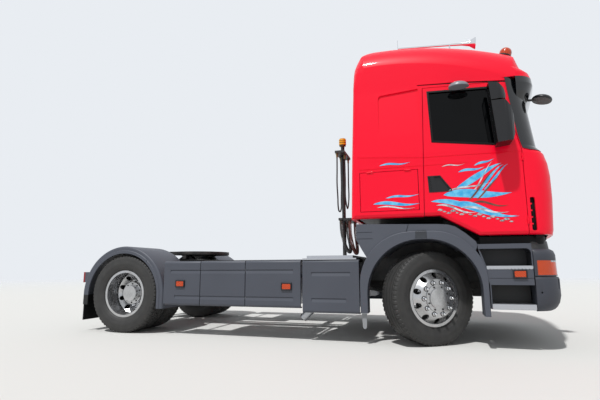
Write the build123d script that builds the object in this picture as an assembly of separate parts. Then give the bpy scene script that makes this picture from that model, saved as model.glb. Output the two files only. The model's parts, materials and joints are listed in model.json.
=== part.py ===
from build123d import *
import math
import os

# Two-axle road tractor with a high-roof sleeper cab, in millimetres, at real size.
# +X points forward, +Y to the driver's side (left), +Z up, the tyres stand on Z = 0.
# All pieces are drawn with X counted from the front axle and moved to the middle of
# the vehicle when they are written.

# Overall places
wheelbase = 3700
front_axle_x = 1453
ground_to_axle = 490

# Wheels
tyre_width = 315
tread_width = 276
rim_flange_radius = 298.5
rim_seat_radius = 285
rim_width = 244
rim_wall = 16
wheel_offset = 175
disc_wall = 18
hub_pilot_radius = 140
hub_cap_radius = 104
hub_cap_proud = 24
front_tyre_y = 1029
rear_outer_y = 1088
dual_spacing = 350
hand_hole_count = 10
hand_hole_radius = 30

# Steering
kingpin_y = 880
kingpin_radius = 22
bearing_gap = 0.05
steer_angle = 35.3
axle_eye_radius = 52
axle_tube_radius = 72
spring_y = 415
spring_seat = 432

# Frame
rail_top = 925
rail_height = 270
rail_flange = 75
rail_wall = 9
rail_rear_y = 385
rail_front_y = 460
rail_rear_x = -4280
rail_front_x = 1240

# Cab outline: height, front X at the middle, half width, rear X
cab_wall = 45
cab_side_y = 1245
front_bow = 155
front_corner = 230
rear_corner = 60
roof_base = 2810
screen_base = 2040
cab_levels = [
    (1090, 1432, 1240, -700),
    (1175, 1452, 1244, -697),
    (1500, 1470, 1245, -688),
    (1730, 1470, 1245, -681),
    (1860, 1457, 1245, -677),
    (1965, 1428, 1245, -673),
    (screen_base, 1358, 1245, -671),
    (roof_base, 1264, 1207, -647),
]
# Roof outline: height above its base, front X at the middle, half width, rear X, rear corner radius
roof_levels = [
    (0, 1384, 1207, -647, 60),
    (60, 1362, 1206, -645, 60),
    (105, 1312, 1205, -644, 60),
    (125, 1283, 1205, -643, 62),
    (281, 1232, 1202, -640, 110),
    (355, 1162, 1200, -640, 160),
    (415, 1078, 1198, -640, 220),
    (480, 940, 1196, -640, 290),
    (790, 400, 1190, -640, 480),
]
# the roof's ridge falls forward on one large circle
roof_circle_x = -376
roof_circle_radius = 4000
roof_shoulder_radius = 400
roof_shoulder_rise = 665
roof_crown_rise = 725
# the rear edge in side view: start above the base, then two arcs, each with its radius and turn
roof_rear_rise = 280
roof_rear_arcs = [(346, 60), (1130, 30)]

# Sun visor in front of the screen, and the black covers of the screen's pillars
visor_wall = 12
visor_levels = [
    (roof_base - 290, 1300, 1190, 500),
    (roof_base - 160, 1362, 1212, 500),
    (roof_base - 70, 1390, 1216, 500),
    (roof_base, 1384, 1207, 500),
]
pillar_cover = 8
pillar_cover_outline = [(985, roof_base), (1000, roof_base - 155), (1056, 2167), (1076, 2070), (1092, 2012), (1160, 1992),
                        (1500, 1992), (1500, roof_base)]

# Side openings, X and Z as seen from the side
door_gap = 6
door_outline = [(98, 1345), (144, roof_base - 15), (925, roof_base - 45), (1083, 1990), (1083, 1125), (630, 1128),
                (255, 1345)]
hinge_x = 1083
hinge_proud = 3
hinge_pin_radius = 5
hinge_barrel_radius = 9
door_hinge_heights = (1230, 1880)
lid_hinge_places = (-500, -90)
window_outline = [(222, 2160), (200, roof_base - 72), (806, roof_base - 98), (872, 2068)]
window_glass = 6
handle_outline = [(150, 1778), (280, 1778), (392, 1618), (385, 1600), (158, 1598)]
screen_half = 1085
screen_top = roof_base - 50
grille_half = 800
grille_heights = (1175, 1720)
locker_outline = [(-580, 1420), (-580, 1862), (52, 1862), (52, 1420)]
cab_bottom_outline = [(-720, 1345), (255, 1345), (630, 1128), (1500, 1128), (1500, roof_base + 900),
                      (-720, roof_base + 900)]
below_cab_outline = [(-760, 1345), (255, 1345), (630, 1128), (1560, 1128), (1560, 900), (-760, 900)]
# the turned-under lower edge: depth behind the side, height cut away
under_turn_steps = [(42, 0), (13, 11), (0, 40), (-40, 60)]
# grooves in the cab's side: outline, Y of the groove's floor
upper_crease = [(-600, 2046), (100, 1990), (1083, 1980), (1083, 1972), (100, 1982), (-600, 2038)]
lower_crease = [(-580, 1900), (560, 1900), (560, 1893), (-580, 1893)]
gutter_line = [(90, roof_base + 33), (573, roof_base + 7), (1000, roof_base - 38), (1018, roof_base - 60),
               (1000, roof_base - 58), (573, roof_base - 11), (90, roof_base + 22)]
crease_floor = 1241
gutter_floor = 1195
# sleeper panel: outline, and how deep it lies at its top
recess_outline = [(-350, 2270), (-350, roof_base - 45), (95, roof_base - 10), (95, 2270)]
recess_depth = 16

# Cab tilt pivot
tilt_x = 1200
tilt_z = 750
tilt_pin_radius = 25

# Floor of the cab
floor_thickness = 40
floor_outline = [(-625, 1362), (262, 1362), (622, 1200), (1360, 1200)]
tunnel_half = 420
tunnel_top = 1462

# Side skirts
skirt_y = 1245
skirt_wall = 25
skirt_top = 900
skirt_bottom = 362
skirt_edge = 30
skirt_shelf = 110
skirt_skin = 14
# rear X, front X, bottom Z
skirt_panels = [(-3085, -2574, skirt_bottom), (-2566, -1974, skirt_bottom), (-1966, -1286, skirt_bottom),
                (-1262, -618, 316)]
# pressed grooves: rear X, front X, Z of the upper edge
skirt_grooves = [(-2990, -1375, 790), (-2925, -1375, 480), (-1156, -716, 760), (-1156, -766, 474)]
groove_depth = 10
groove_height = 42
# side marker lamps: X, Z
marker_lamps = [(-2846, 624), (-1452, 602), (968, 742)]
marker_half_length = 50
marker_half_height = 29
# arms that carry them: rear X, front X, inner Y, bottom Z, top Z
skirt_arms = [(-2880, -2840, rail_rear_y, 700, 740), (-1340, -1300, rail_rear_y, 700, 740),
              (-2290, -2250, 1060, 600, 640), (-960, -920, 1150, 600, 640)]

# Small air tanks between the rails
air_tank_y = 250
air_tank_radius = 90

# Front arches as seen from the side: rear centre X, Z and radius, front centre X, Z and radius
arch_inner = (48, 530, 578, 100, 581, 527)
arch_outer = (-48, 630, 560, 160, 670, 520)
arch_leg_bottom = 326
arch_band_proud = 14
arch_skin = 14
fender_outline = [(-636, 1112), (-636, 1287), (240, 1258), (330, 1250), (400, 1226), (495, 1155), (585, 1072), (600, 1036),
                  (590, 1000), (540, 900), (0, 800), (-520, 905), (-577, 1001)]

# Rear arches
rear_arch_x = -3718
rear_arch_z = 478
rear_arch_radius = 532
rear_arch_band = 92
rear_arch_inner_y = 600

# Steps and bumper
step_rear_x = 690
step_front_x = 1088
step_bottom = 400
step_top = 1040
step_depth = 215
step_inner_y = 820
# treads: top, bottom, rear X
treads = [(450, 397, 700), (822, 787, 670)]
tooth_pitch = 32
tooth_depth = 9
upper_pocket = [(668, 822), (655, 862), (640, 915), (612, 992), (1078, 992), (1078, 822)]
lower_pocket = [(700, 450), (700, 635), (1100, 635), (1100, 450)]
housing_outline = [(step_rear_x, step_bottom), (step_rear_x, 640), (600, 1000), (600, step_top), (step_front_x, step_top),
                   (step_front_x, step_bottom)]
rim_proud = 12
bumper_rear_x = 1098
bumper_wall = 38
bumper_levels = [
    (385, 1372, 1196, 700),
    (400, 1400, 1216, 700),
    (425, 1424, 1232, 700),
    (465, 1446, 1242, 700),
    (530, 1462, 1246, 700),
    (690, 1462, 1246, 700),
    (711, 1454, 1240, 700),
    (712, 1438, 1222, 700),
    (722, 1438, 1222, 700),
    (723, 1448, 1238, 700),
    (930, 1444, 1238, 700),
    (968, 1430, 1228, 700),
    (986, 1402, 1206, 700),
]
# the inside keeps clear of the groove
bumper_inner_levels = [bumper_levels[0], bumper_levels[2], bumper_levels[4], bumper_levels[10], bumper_levels[12]]
fog_half_width = 95
slot_floor_x = 1295
apron_wall = 14
apron_levels = [(986.3, 1394, 1196, 700), (1068, 1384, 1172, 700)]
lamp_bottom = 732
lamp_top = 872
lamp_inner_y = 720
lamp_corner_x = 1258
lamp_rear_x = 1128

# Coupling
coupling_x = -3320
coupling_top = 1060
coupling_pivot_z = 972
coupling_pin_radius = 20
kingpin_bore_radius = 25.6
coupling_plate = 46

# Hoses behind the cab
post_x = -905
post_y = -560
hose_diameter = 18
coil_diameter = 46

pieces = {}


def polygon(plane, points):
    return make_face(plane * Polyline(*points, close=True))


def side_prism(points, y0, y1):
    """Outline in X and Z, drawn out from y0 to y1."""
    return Pos(0, y0, 0) * extrude(polygon(Plane.XZ, points), amount=y1 - y0, dir=(0, 1, 0))


def plan_prism(points, z0, z1):
    """Outline in X and Y, drawn up from z0 to z1."""
    return Pos(0, 0, z0) * extrude(polygon(Plane.XY, points), amount=z1 - z0, dir=(0, 0, 1))


def block(x0, x1, y0, y1, z0, z1):
    return Pos((x0 + x1) / 2, (y0 + y1) / 2, (z0 + z1) / 2) * Box(x1 - x0, y1 - y0, z1 - z0)


def bar_y(x, z, radius, y0, y1):
    return Pos(x, (y0 + y1) / 2, z) * Rot(90, 0, 0) * Cylinder(radius, abs(y1 - y0))


def bar_z(x, y, radius, z0, z1):
    return Pos(x, y, (z0 + z1) / 2) * Cylinder(radius, z1 - z0)


def bar_x(y, z, radius, x0, x1):
    return Pos((x0 + x1) / 2, y, z) * Rot(0, 90, 0) * Cylinder(radius, abs(x1 - x0))


def other_side(shape):
    return mirror(shape, about=Plane.XZ)


def solids_of(*shapes):
    found = []
    for shape in shapes:
        found.extend(shape.solids())
    return Compound(found)


def pair(shape):
    return solids_of(shape, other_side(shape))


def spin_y(points):
    """Outline of (radius, y) spun about the Y axis."""
    return revolve(make_face(Plane.XY * Polyline(*points, close=True)), Axis.Y)


def level_face(level, inset=0.0):
    z, front, half, rear, *corner = level
    side = half - inset
    nose = front - inset
    drop = front_bow * (side / cab_side_y) ** 2
    arc = ThreePointArc((nose - drop, -side), (nose, 0), (nose - drop, side))
    rest = Polyline((nose - drop, side), (rear + inset, side), (rear + inset, -side), (nose - drop, -side))
    face = make_face([arc.edge()] + rest.edges())
    face = fillet(face.vertices().group_by(Axis.X)[-1], front_corner - inset)
    rear_radius = corner[0] if corner else rear_corner
    face = fillet(face.vertices().group_by(Axis.X)[0], max(rear_radius - inset, 12))
    return Pos(0, 0, z) * face


def lofted(levels, inset=0.0, below=0.0):
    faces = [level_face(level, inset) for level in levels]
    if below:
        faces[0] = Pos(0, 0, -below) * faces[0]
    return loft(faces, ruled=True)


def cab_skin(outer=0.0, inner=cab_wall):
    """The cab's walls below the roof, between two insets from its outer face."""
    solid = lofted(cab_levels, outer)
    hollow = lofted([(cab_levels[0][0] - 20,) + cab_levels[0][1:]] + cab_levels[1:-1]
                    + [(cab_levels[-1][0] + 20,) + cab_levels[-1][1:]], inner)
    return (solid - hollow) & side_prism(cab_bottom_outline, -1400, 1400)


def grown(points, amount):
    return offset(polygon(Plane.XZ, points), amount, kind=Kind.INTERSECTION)


def grown_prism(points, amount, y0, y1):
    return Pos(0, y0, 0) * extrude(grown(points, amount), amount=y1 - y0, dir=(0, 1, 0))


# Frame

def rail():
    bend_rear, bend_front = -1150, -650
    outer = [(rail_rear_x, rail_rear_y), (bend_rear, rail_rear_y), (bend_front, rail_front_y), (rail_front_x, rail_front_y)]

    def strip(width, z0, z1):
        inner = [(x, y - width) for x, y in reversed(outer)]
        return plan_prism(outer + inner, z0, z1)

    web = strip(rail_wall, rail_top - rail_height, rail_top)
    upper = strip(rail_flange, rail_top - rail_wall, rail_top)
    lower = strip(rail_flange, rail_top - rail_height, rail_top - rail_height + rail_wall)
    tilt_pin = bar_y(tilt_x, tilt_z, tilt_pin_radius, rail_front_y - 1, rail_front_y + 100)
    return web + upper + lower + tilt_pin


def cross_members():
    bottom = rail_top - rail_height + rail_wall
    top = rail_top - rail_wall
    inner_rear = rail_rear_y - rail_wall
    made = []
    for x in (-4230, -3950, -2950, -1500):
        web = block(x - 5, x + 5, -inner_rear, inner_rear, bottom + 8, top - 8)
        caps = block(x - 40, x + 40, -inner_rear, inner_rear, bottom, bottom + 10)
        caps += block(x - 40, x + 40, -inner_rear, inner_rear, top - 10, top)
        made.append(web + caps)
    inner_front = rail_front_y - rail_wall
    made.append(block(1120, 1232, -inner_front, inner_front, bottom + 10, bottom + 120))
    return solids_of(*made)


def front_axle():
    beam = block(-55, 55, -640, 640, 330, 350) + block(-55, 55, -640, 640, 410, 430)
    beam += block(-12, 12, -640, 640, 345, 415)
    for side in (-1, 1):
        swan = side_prism([(-50, 330), (50, 330), (50, 470), (-50, 470)], 0, 160)
        swan = Pos(0, side * 700 - 80, 0) * swan
        eye = bar_z(0, side * kingpin_y, axle_eye_radius, 425, 545)
        neck = block(-40, 40, min(side * 770, side * kingpin_y), max(side * 770, side * kingpin_y), 430, 520)
        beam += swan + neck + eye
        beam += block(-52, 52, side * spring_y - 42, side * spring_y + 42, 425, spring_seat - 0.3)
    for side in (-1, 1):
        beam -= bar_z(0, side * kingpin_y, kingpin_radius + bearing_gap, 400, 600)
    return beam


def knuckle():
    """Drawn straight ahead on the right, its kingpin at kingpin_y."""
    pin = bar_z(0, -kingpin_y, kingpin_radius, 350, 620)
    ears = bar_z(0, -kingpin_y, 48, 548, 598) + bar_z(0, -kingpin_y, 48, 372, 422)
    plate = block(-60, 60, -kingpin_y - 105, -kingpin_y - 62, 372, 598)
    ears += block(-45, 45, -kingpin_y - 70, -kingpin_y, 548, 598)
    ears += block(-45, 45, -kingpin_y - 70, -kingpin_y, 372, 422)
    spindle = bar_y(0, ground_to_axle, 42, -kingpin_y - 225, -kingpin_y - 80)
    chamber = bar_y(0, 668, 62, -kingpin_y - 15, -kingpin_y + 90)
    chamber_arm = block(-30, 30, -kingpin_y - 12, -kingpin_y + 30, 590, 640)
    return pin + ears + plate + spindle + chamber + chamber_arm


def drive_axle():
    stub_end = rear_outer_y - 60
    tube = bar_y(-wheelbase, ground_to_axle, axle_tube_radius, -750, 750)
    stubs = bar_y(-wheelbase, ground_to_axle, 48, -stub_end, stub_end)
    bowl = spin_y([(0, -150), (170, -130), (215, -60), (215, 60), (170, 130), (0, 150)])
    bowl = Pos(-wheelbase, 0, ground_to_axle) * Rot(0, 0, 90) * bowl
    nose = bar_x(0, ground_to_axle + 20, 105, -wheelbase, -wheelbase + 330)
    shaft = bar_x(0, ground_to_axle + 40, 48, -wheelbase + 320, -1140)
    return tube + stubs + bowl + nose + shaft


def build_suspension():
    made = []
    spring_width = 80
    for side in (-1, 1):
        y = side * spring_y
        top = ThreePointArc((-760, 640), (0, spring_seat + 30), (800, 640))
        low = ThreePointArc((-760, 610), (0, spring_seat), (800, 610))
        ends = Line((-760, 610), (-760, 640)), Line((800, 640), (800, 610))
        leaf = make_face([top.edge(), ends[1].edge(), low.edge(), ends[0].edge()])
        leaf = Plane.XZ * leaf
        spring = Pos(0, y - spring_width / 2, 0) * extrude(leaf, amount=spring_width, dir=(0, 1, 0))
        hanger = block(740, 860, y - 38, y + 38, 600, rail_top - rail_height)
        shackle = block(-800, -720, y - 38, y + 38, 600, rail_top - rail_height)
        made.append(spring + hanger + shackle)
        # rear: a bowed carrier on the axle with an air spring ahead and behind
        y = side * 412
        carrier = block(-wheelbase - 420, -wheelbase + 420, y - 45, y + 45, 360, 420)
        carrier += block(-wheelbase - 90, -wheelbase + 90, y - 60, y + 60, 400, ground_to_axle - 40)
        for x in (-wheelbase - 330, -wheelbase + 330):
            carrier += Pos(x, y, 0) * air_spring(420, rail_top - rail_height - 14)
            carrier += block(x - 60, x + 60, y - 70, y + 70, rail_top - rail_height - 14, rail_top - rail_height)
        made.append(carrier - bar_y(-wheelbase, ground_to_axle, axle_tube_radius, -700, 700))
    return solids_of(*made)


def air_spring(z0, z1):
    height = z1 - z0
    outline = Polyline((0, 0), (95, 0), (95, 0.18 * height), (118, 0.34 * height), (118, 0.80 * height),
                       (90, height), (0, height), close=True)
    return Pos(0, 0, z0) * revolve(make_face(Plane.XZ * outline), Axis.Z)


def engine():
    body = block(-480, 780, -345, 345, 640, 1360)
    sump = block(-380, 700, -190, 190, 470, 640)
    gearbox = block(-1130, -480, -230, 230, 520, 900)
    radiator = block(960, 1075, -378, 378, 560, 1380)
    reach = rail_front_y - rail_wall
    mounts = block(-420, -340, -reach, reach, 700, 760) + block(560, 640, -reach, reach, 700, 760)
    return solids_of(body + sump + gearbox + mounts + block(780, 960, -60, 60, 900, 1000) + radiator)


def side_tanks():
    """Fuel tanks behind the skirts, with the small air tanks across the frame."""
    made = []
    for side in (-1, 1):
        tank = Plane.YZ * RectangleRounded(560, 470, 110)
        body = Pos(-2500, side * 780, 620) * extrude(tank, amount=1120, dir=(1, 0, 0))
        for x in (-2350, -1580):
            body += block(x, x + 50, min(side * rail_rear_y, side * 540), max(side * rail_rear_y, side * 540), 680, 760)
        made.append(body)
        air = bar_x(side * air_tank_y, 560, air_tank_radius, -2800, -2150)
        for x in (-2720, -2280):
            air += block(x, x + 50, side * 330 - 18, side * 330 + 18, 560, rail_top - rail_height)
        made.append(air)
    return solids_of(*made)


def silencer():
    box = Plane.YZ * RectangleRounded(620, 500, 90)
    body = Pos(-1240, -840, 620) * extrude(box, amount=580, dir=(1, 0, 0))
    outlet = Pos(-1262, -950, 304) * Rot(0, -134, 0) * Cylinder(48, 225)
    outlet -= Pos(-1262, -950, 304) * Rot(0, -134, 0) * Pos(0, 0, 60) * Cylinder(44, 225)
    return body + outlet + block(-1230, -1180, -560, -rail_rear_y, 700, 780)


def battery_box():
    box = block(-1240, -680, 560, 1150, 400, 840)
    return box + block(-1230, -1180, rail_rear_y, 560, 700, 780)


# Body work on the chassis

def skirt_section(bottom):
    """Upright panel with rounded edges, a shelf at the top and a lip at the bottom, in Y and Z."""
    y = -skirt_y
    outline = [(y, bottom), (y, skirt_top), (y + skirt_shelf, skirt_top), (y + skirt_shelf, skirt_top - skirt_skin),
               (y + skirt_wall, skirt_top - skirt_skin), (y + skirt_wall, bottom + skirt_skin),
               (y + 70, bottom + skirt_skin), (y + 70, bottom)]
    face = polygon(Plane.YZ, outline)
    outer = face.vertices().group_by(Axis.Y)[0]
    face = fillet(outer, skirt_edge)
    inner = [v for v in face.vertices() if abs(v.Y - y - skirt_wall) < 1]
    return fillet(inner, skirt_edge - skirt_skin)


def side_skirts():
    made = []
    grooves = []
    for rear, front, z in skirt_grooves:
        y = -skirt_y
        low = z - groove_height
        wedge = polygon(Plane.YZ, [(y - 2, z + 2), (y + groove_depth, z), (y, low), (y - 2, low)])
        grooves.append(Pos(rear, 0, 0) * extrude(wedge, amount=front - rear, dir=(1, 0, 0)))
    for rear, front, bottom in skirt_panels:
        panel = Pos(rear, 0, 0) * extrude(skirt_section(bottom), amount=front - rear, dir=(1, 0, 0))
        for groove in grooves:
            panel -= groove
        for x0, x1, y, z0, z1 in skirt_arms:
            if rear < x0 < front:
                panel += block(x0, x1, -skirt_y + skirt_wall - 1, -y, z0, z1)
        made.append(panel)
    return pair(solids_of(*made))


def catwalk():
    deck = block(-1240, -700, -1135, 1135, 930, 950)
    for x in (-1215, -725):
        deck += block(x - 15, x + 15, -rail_front_y, rail_front_y, rail_top, 931)
    for side in (-1, 1):
        deck += block(-1262, -646, min(side * 1135, side * 1243), max(side * 1135, side * 1243), skirt_top + 0.3, 918)
        deck += block(-1240, -700, min(side * 1125, side * 1140), max(side * 1125, side * 1140), 905, 950)
    return deck


def rear_mudguards():
    outer = rear_arch_radius + rear_arch_band
    y = -skirt_y
    # the guard's section in radius and Y: a stepped lip outside, a rounded edge, and the top skin over the twin tyres
    lip = rear_arch_radius
    section = make_face(Plane.XY * Polyline(
        (lip, y), (lip + 33, y), (lip + 40, y + 7), (outer, y + 7), (outer, -rear_arch_inner_y),
        (outer - arch_skin, -rear_arch_inner_y), (outer - arch_skin, y + 22), (lip, y + 22), close=True))
    edge = section.vertices().sort_by_distance((outer, y + 7, 0))[0]
    section = fillet(edge, 24)
    shell = revolve(section, Axis((0, 0, 0), (0, -1, 0)), 180)
    front_leg = extrude(section, amount=rear_arch_z - 315, dir=(0, 0, -1))
    rear_leg = extrude(mirror(section, about=Plane.YZ), amount=rear_arch_z - 345, dir=(0, 0, -1))
    guard = Pos(rear_arch_x, 0, rear_arch_z) * (shell + front_leg + rear_leg)
    # seams of the front and rear corner pieces in the lip
    for side in (-1, 1):
        seam = Pos(outer, 0, 0) * Box(160, 12, 5)
        seam = Pos(rear_arch_x, y, rear_arch_z) * Rot(0, -90 + side * 40, 0) * seam
        guard -= seam
    rear = rear_arch_x - outer
    flap = block(rear - 12, rear, -1200, -640, 140, 560)
    arms = bar_y(rear_arch_x - 512, 800, 24, -760, -rail_rear_y)
    arms += bar_y(rear_arch_x + 512, 800, 24, -760, -rail_rear_y)
    lamp_box = block(rear, rear + 110, -skirt_y + 25, -skirt_y + 300, 632, 768)
    lamp_box -= bar_y(rear_arch_x, rear_arch_z, outer - arch_skin / 2, -1300, -800)
    return pair(guard + flap + arms + lamp_box)


def arch_face(arch, bottom, grow=0.0):
    """Flattened arch with upright legs, seen from the side."""
    rear_x, rear_z, rear_r, front_x, front_z, front_r = arch
    rear_r, front_r = rear_r + grow, front_r + grow
    rear_45, front_45 = rear_r * math.sqrt(0.5), front_r * math.sqrt(0.5)
    rear_end, rear_top = (rear_x - rear_r, rear_z), (rear_x, rear_z + rear_r)
    front_end, front_top = (front_x + front_r, front_z), (front_x, front_z + front_r)
    rear_arc = ThreePointArc(rear_end, (rear_x - rear_45, rear_z + rear_45), rear_top)
    front_arc = ThreePointArc(front_top, (front_x + front_45, front_z + front_45), front_end)
    top = Line(rear_top, front_top)
    legs = Polyline(front_end, (front_x + front_r, bottom), (rear_x - rear_r, bottom), rear_end)
    return Plane.XZ * make_face([rear_arc.edge(), top.edge(), front_arc.edge()] + legs.edges())


def arch_prism(arch, bottom, y0, y1, grow=0.0):
    return Pos(0, y0, 0) * extrude(arch_face(arch, bottom, grow), amount=y1 - y0, dir=(0, 1, 0))


def front_fenders():
    y = -cab_side_y
    hole = arch_prism(arch_inner, arch_leg_bottom - 10, -1400, -500)
    band = arch_prism(arch_outer, arch_leg_bottom, y - arch_band_proud, y + 30)
    face_edges = band.edges().group_by(Axis.Y)[0]
    band = fillet([edge for edge in face_edges if edge.center().Z > arch_leg_bottom + 1], 9)
    # cover plate over the band's top, let in a little
    band -= block(-8, 114, y - arch_band_proud - 5, y - arch_band_proud + 4, 1112, 1183)
    panel = side_prism(fender_outline, y, y + 30)
    for z in (1193, 1122):
        panel -= block(-640, -460, y - 5, y + 5, z - 4, z + 4)
    # slit between the rear panel and the fender proper
    panel -= side_prism([(-70, 1290), (-62, 1290), (-95, 1180), (-103, 1180)], y - 5, y + 12)
    liner = arch_prism(arch_inner, arch_leg_bottom, y + 2, -975, arch_skin) - hole
    # the turned tyre sweeps past the inner edge of the rear leg
    liner -= block(-700, -455, -1085, -970, 0, 815)
    inner = arch_prism(arch_inner, arch_leg_bottom, -976, -540, arch_skin) - hole
    inner &= block(-360, 430, -1000, -500, 930, 1300)
    arm = block(-40, 40, -560, -rail_front_y, 1066, 1114) + block(-40, 40, -490, -rail_front_y, 880, 1100)
    arm -= arch_prism(arch_inner, arch_leg_bottom, -600, -400, 2)
    tab = side_prism([(-600, 335), (-545, 335), (-549, 185), (-556, 168), (-570, 162), (-584, 168), (-591, 185)],
                     y + 16, y + 28)
    return pair((panel + band - hole) + liner + inner + arm + tab)


def step_housings():
    y = -cab_side_y
    body = side_prism(housing_outline, y, -step_inner_y)
    body -= arch_prism(arch_outer, 300, -1400, -step_inner_y + 1, 0.5)
    pocket = polygon(Plane.XZ, upper_pocket)
    corner = pocket.vertices().sort_by_distance((1078, 0, 992))[0]
    pocket = fillet(corner, 45)
    body -= Pos(0, y - 1, 0) * extrude(pocket, amount=step_depth + 1, dir=(0, 1, 0))
    body -= side_prism(lower_pocket, y - 1, y + step_depth)
    for top, bottom, rear in treads:
        body -= block(rear - 0.3, step_front_x + 1, y - 1, y + step_depth, bottom - 0.3, top + 0.1)
    body -= block(step_rear_x, step_front_x + 1, y - 1, y + 5, 697, 703)
    body -= block(step_rear_x + 30, step_front_x - 30, -980, -835, step_bottom - 1, step_top - 40)
    # raised rim over and in front of the upper step
    rim = polygon(Plane.XZ, [(600, 992), (600, step_top), (step_front_x, step_top), (step_front_x, 822), (1078, 822),
                             (1078, 992)])
    rim = fillet(rim.vertices().sort_by_distance((step_front_x, 0, step_top))[0], 50)
    rim = fillet(rim.vertices().sort_by_distance((1078, 0, 992))[0], 45)
    body += Pos(0, y - rim_proud, 0) * extrude(rim, amount=rim_proud + 1, dir=(0, 1, 0))
    body += block(610, step_front_x, -905, -885, step_top - 1, step_top + 60)
    arm = block(860, 960, -step_inner_y, -rail_front_y, 800, 880)
    return pair(body + arm)


def step_treads():
    """Plates with a toothed outer edge."""
    made = []
    y = -cab_side_y
    for top, bottom, rear in treads:
        teeth = [(rear, top), (rear, bottom + tooth_depth)]
        for i in range(int((step_front_x - rear) / tooth_pitch)):
            x = rear + i * tooth_pitch
            teeth += [(x + 6, bottom), (x + tooth_pitch - 6, bottom), (x + tooth_pitch, bottom + tooth_depth)]
        teeth += [(step_front_x, bottom + tooth_depth), (step_front_x, top)]
        plate = block(rear, step_front_x, y + 8, y + step_depth - 0.3, bottom, top)
        made.append(plate + side_prism(teeth, y - 4, y + 9))
    return pair(solids_of(*made))


def bumper_skin():
    first, last = bumper_inner_levels[0], bumper_inner_levels[-1]
    inner = [(first[0] - 20,) + first[1:]] + bumper_inner_levels[1:-1] + [(last[0] + 20,) + last[1:]]
    shell = lofted(bumper_levels) - lofted(inner, bumper_wall)
    return shell & block(bumper_rear_x, 1600, -1300, 1300, 0, 1200)


def front_apron():
    """Thin wall that closes the gap between bumper and cab, open where the tilt arms swing."""
    low, high = apron_levels
    wall = lofted(apron_levels) - lofted([(low[0] - 10,) + low[1:], (high[0] + 10,) + high[1:]], apron_wall)
    wall &= block(bumper_rear_x, 1600, -1300, 1300, 0, 1200)
    for side in (-1, 1):
        wall -= block(1250, 1500, min(side * 480, side * 570), max(side * 480, side * 570), 900, 1200)
    return wall


def lamp_window(grow=0.0):
    shape = block(lamp_rear_x - grow, 1600, -1400, -lamp_inner_y + grow, lamp_bottom - grow, lamp_top + grow)
    return shape + other_side(shape)


def fog_window(grow=0.0):
    half = fog_half_width + grow
    shape = block(1200, 1600, -930 - half, -930 + half, 590 - grow, 690 + grow)
    return shape + other_side(shape)


def bumper():
    body = bumper_skin() - lamp_window() - fog_window()
    for z in (520, 575, 630):
        body -= block(1300, 1600, -560, 560, z - 17, z + 17)
    for side in (-1, 1):
        y = side * rail_front_y
        body += block(rail_front_x, 1420, y - 30, y + 30, 740, 850) & lofted(bumper_levels, 2)
        # jacking hole and the slot at the corner
        body -= bar_y(1146, 565, 9, side * 1215, side * 1260)
        body -= block(1220, 1400, min(side * 1110, side * 1150), max(side * 1110, side * 1150), 598, 694)
        body += block(1265, slot_floor_x, min(side * 1100, side * 1160), max(side * 1100, side * 1160), 588, 704)
        # the panel behind the bumper's end
        body += block(bumper_rear_x, bumper_rear_x + 16, min(side * 860, side * 1214), max(side * 860, side * 1214),
                      430, 930)
    return body


def headlamps():
    lens = bumper_skin() & lamp_window()
    fog = (bumper_skin() - lofted(bumper_inner_levels, 12)) & fog_window()
    return solids_of(lens & block(lamp_corner_x, 1600, -1400, 1400, 0, 1200), fog)


def amber_lamps():
    lens = bumper_skin() & lamp_window()
    made = [lens & block(1000, lamp_corner_x - 0.3, -1400, 1400, 0, 1200)]
    for x, z in marker_lamps:
        lamp = block(x - marker_half_length, x + marker_half_length, -skirt_y - 16, -skirt_y - 0.3,
                     z - marker_half_height, z + marker_half_height)
        lamp = fillet(lamp.edges().filter_by(Axis.Y), 8)
        made.append(lamp)
        made.append(other_side(lamp))
    return solids_of(*made)


def tail_lamps():
    x = rear_arch_x - rear_arch_radius - rear_arch_band
    return pair(block(x - 26, x, -skirt_y + 25, -skirt_y + 300, 632, 768))


# Coupling

def coupling_base():
    plate = block(coupling_x - 330, coupling_x + 330, -440, 440, rail_top + 0.3, rail_top + 14)
    for side in (-1, 1):
        y = side * 330
        ear = side_prism([(coupling_x - 130, rail_top + 13), (coupling_x + 130, rail_top + 13),
                          (coupling_x + 50, coupling_pivot_z + 29), (coupling_x - 50, coupling_pivot_z + 29)],
                         y - 45, y + 45)
        ear -= bar_y(coupling_x, coupling_pivot_z, coupling_pin_radius + 0.05, y - 60, y + 60)
        plate += ear
    return plate


def fifth_wheel():
    plate = bar_z(coupling_x, 0, 450, coupling_top - coupling_plate, coupling_top)
    plate += block(coupling_x - 430, coupling_x, -430, 430, coupling_top - coupling_plate, coupling_top)
    plate -= plan_prism([(coupling_x - 520, -190), (coupling_x - 150, -34), (coupling_x - 60, -26), (coupling_x - 60, 26),
                         (coupling_x - 150, 34), (coupling_x - 520, 190)], coupling_top - 80, coupling_top + 1)
    plate -= bar_z(coupling_x, 0, kingpin_bore_radius, coupling_top - 90, coupling_top + 1)
    for side in (-1, 1):
        y = side * 330
        lug_bottom = coupling_pivot_z - coupling_pin_radius
        lug = block(coupling_x - 30, coupling_x + 30, y - 110, y - 50, lug_bottom, coupling_top - 20)
        lug += block(coupling_x - 30, coupling_x + 30, y + 50, y + 110, lug_bottom, coupling_top - 20)
        pin = bar_y(coupling_x, coupling_pivot_z, coupling_pin_radius, y - 112, y + 112)
        plate += lug + pin
    return plate


# Hoses behind the cab

def hose_post():
    mast = bar_z(post_x, post_y, 24, 950.3, 2420)
    foot = block(post_x - 70, post_x + 70, post_y - 70, post_y + 70, 950.3, 962)
    upper = block(post_x - 62, post_x + 62, post_y - 210, post_y + 210, 2262, 2290)
    lower = block(post_x - 25, post_x + 25, post_y - 230, post_y + 230, 1392, 1420)
    lower += block(post_x - 25, post_x + 130, post_y - 205, post_y + 225, 1392, 1420)
    knob = bar_z(post_x, post_y, 42, 2400, 2500)
    return mast + foot + upper + lower + knob


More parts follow.
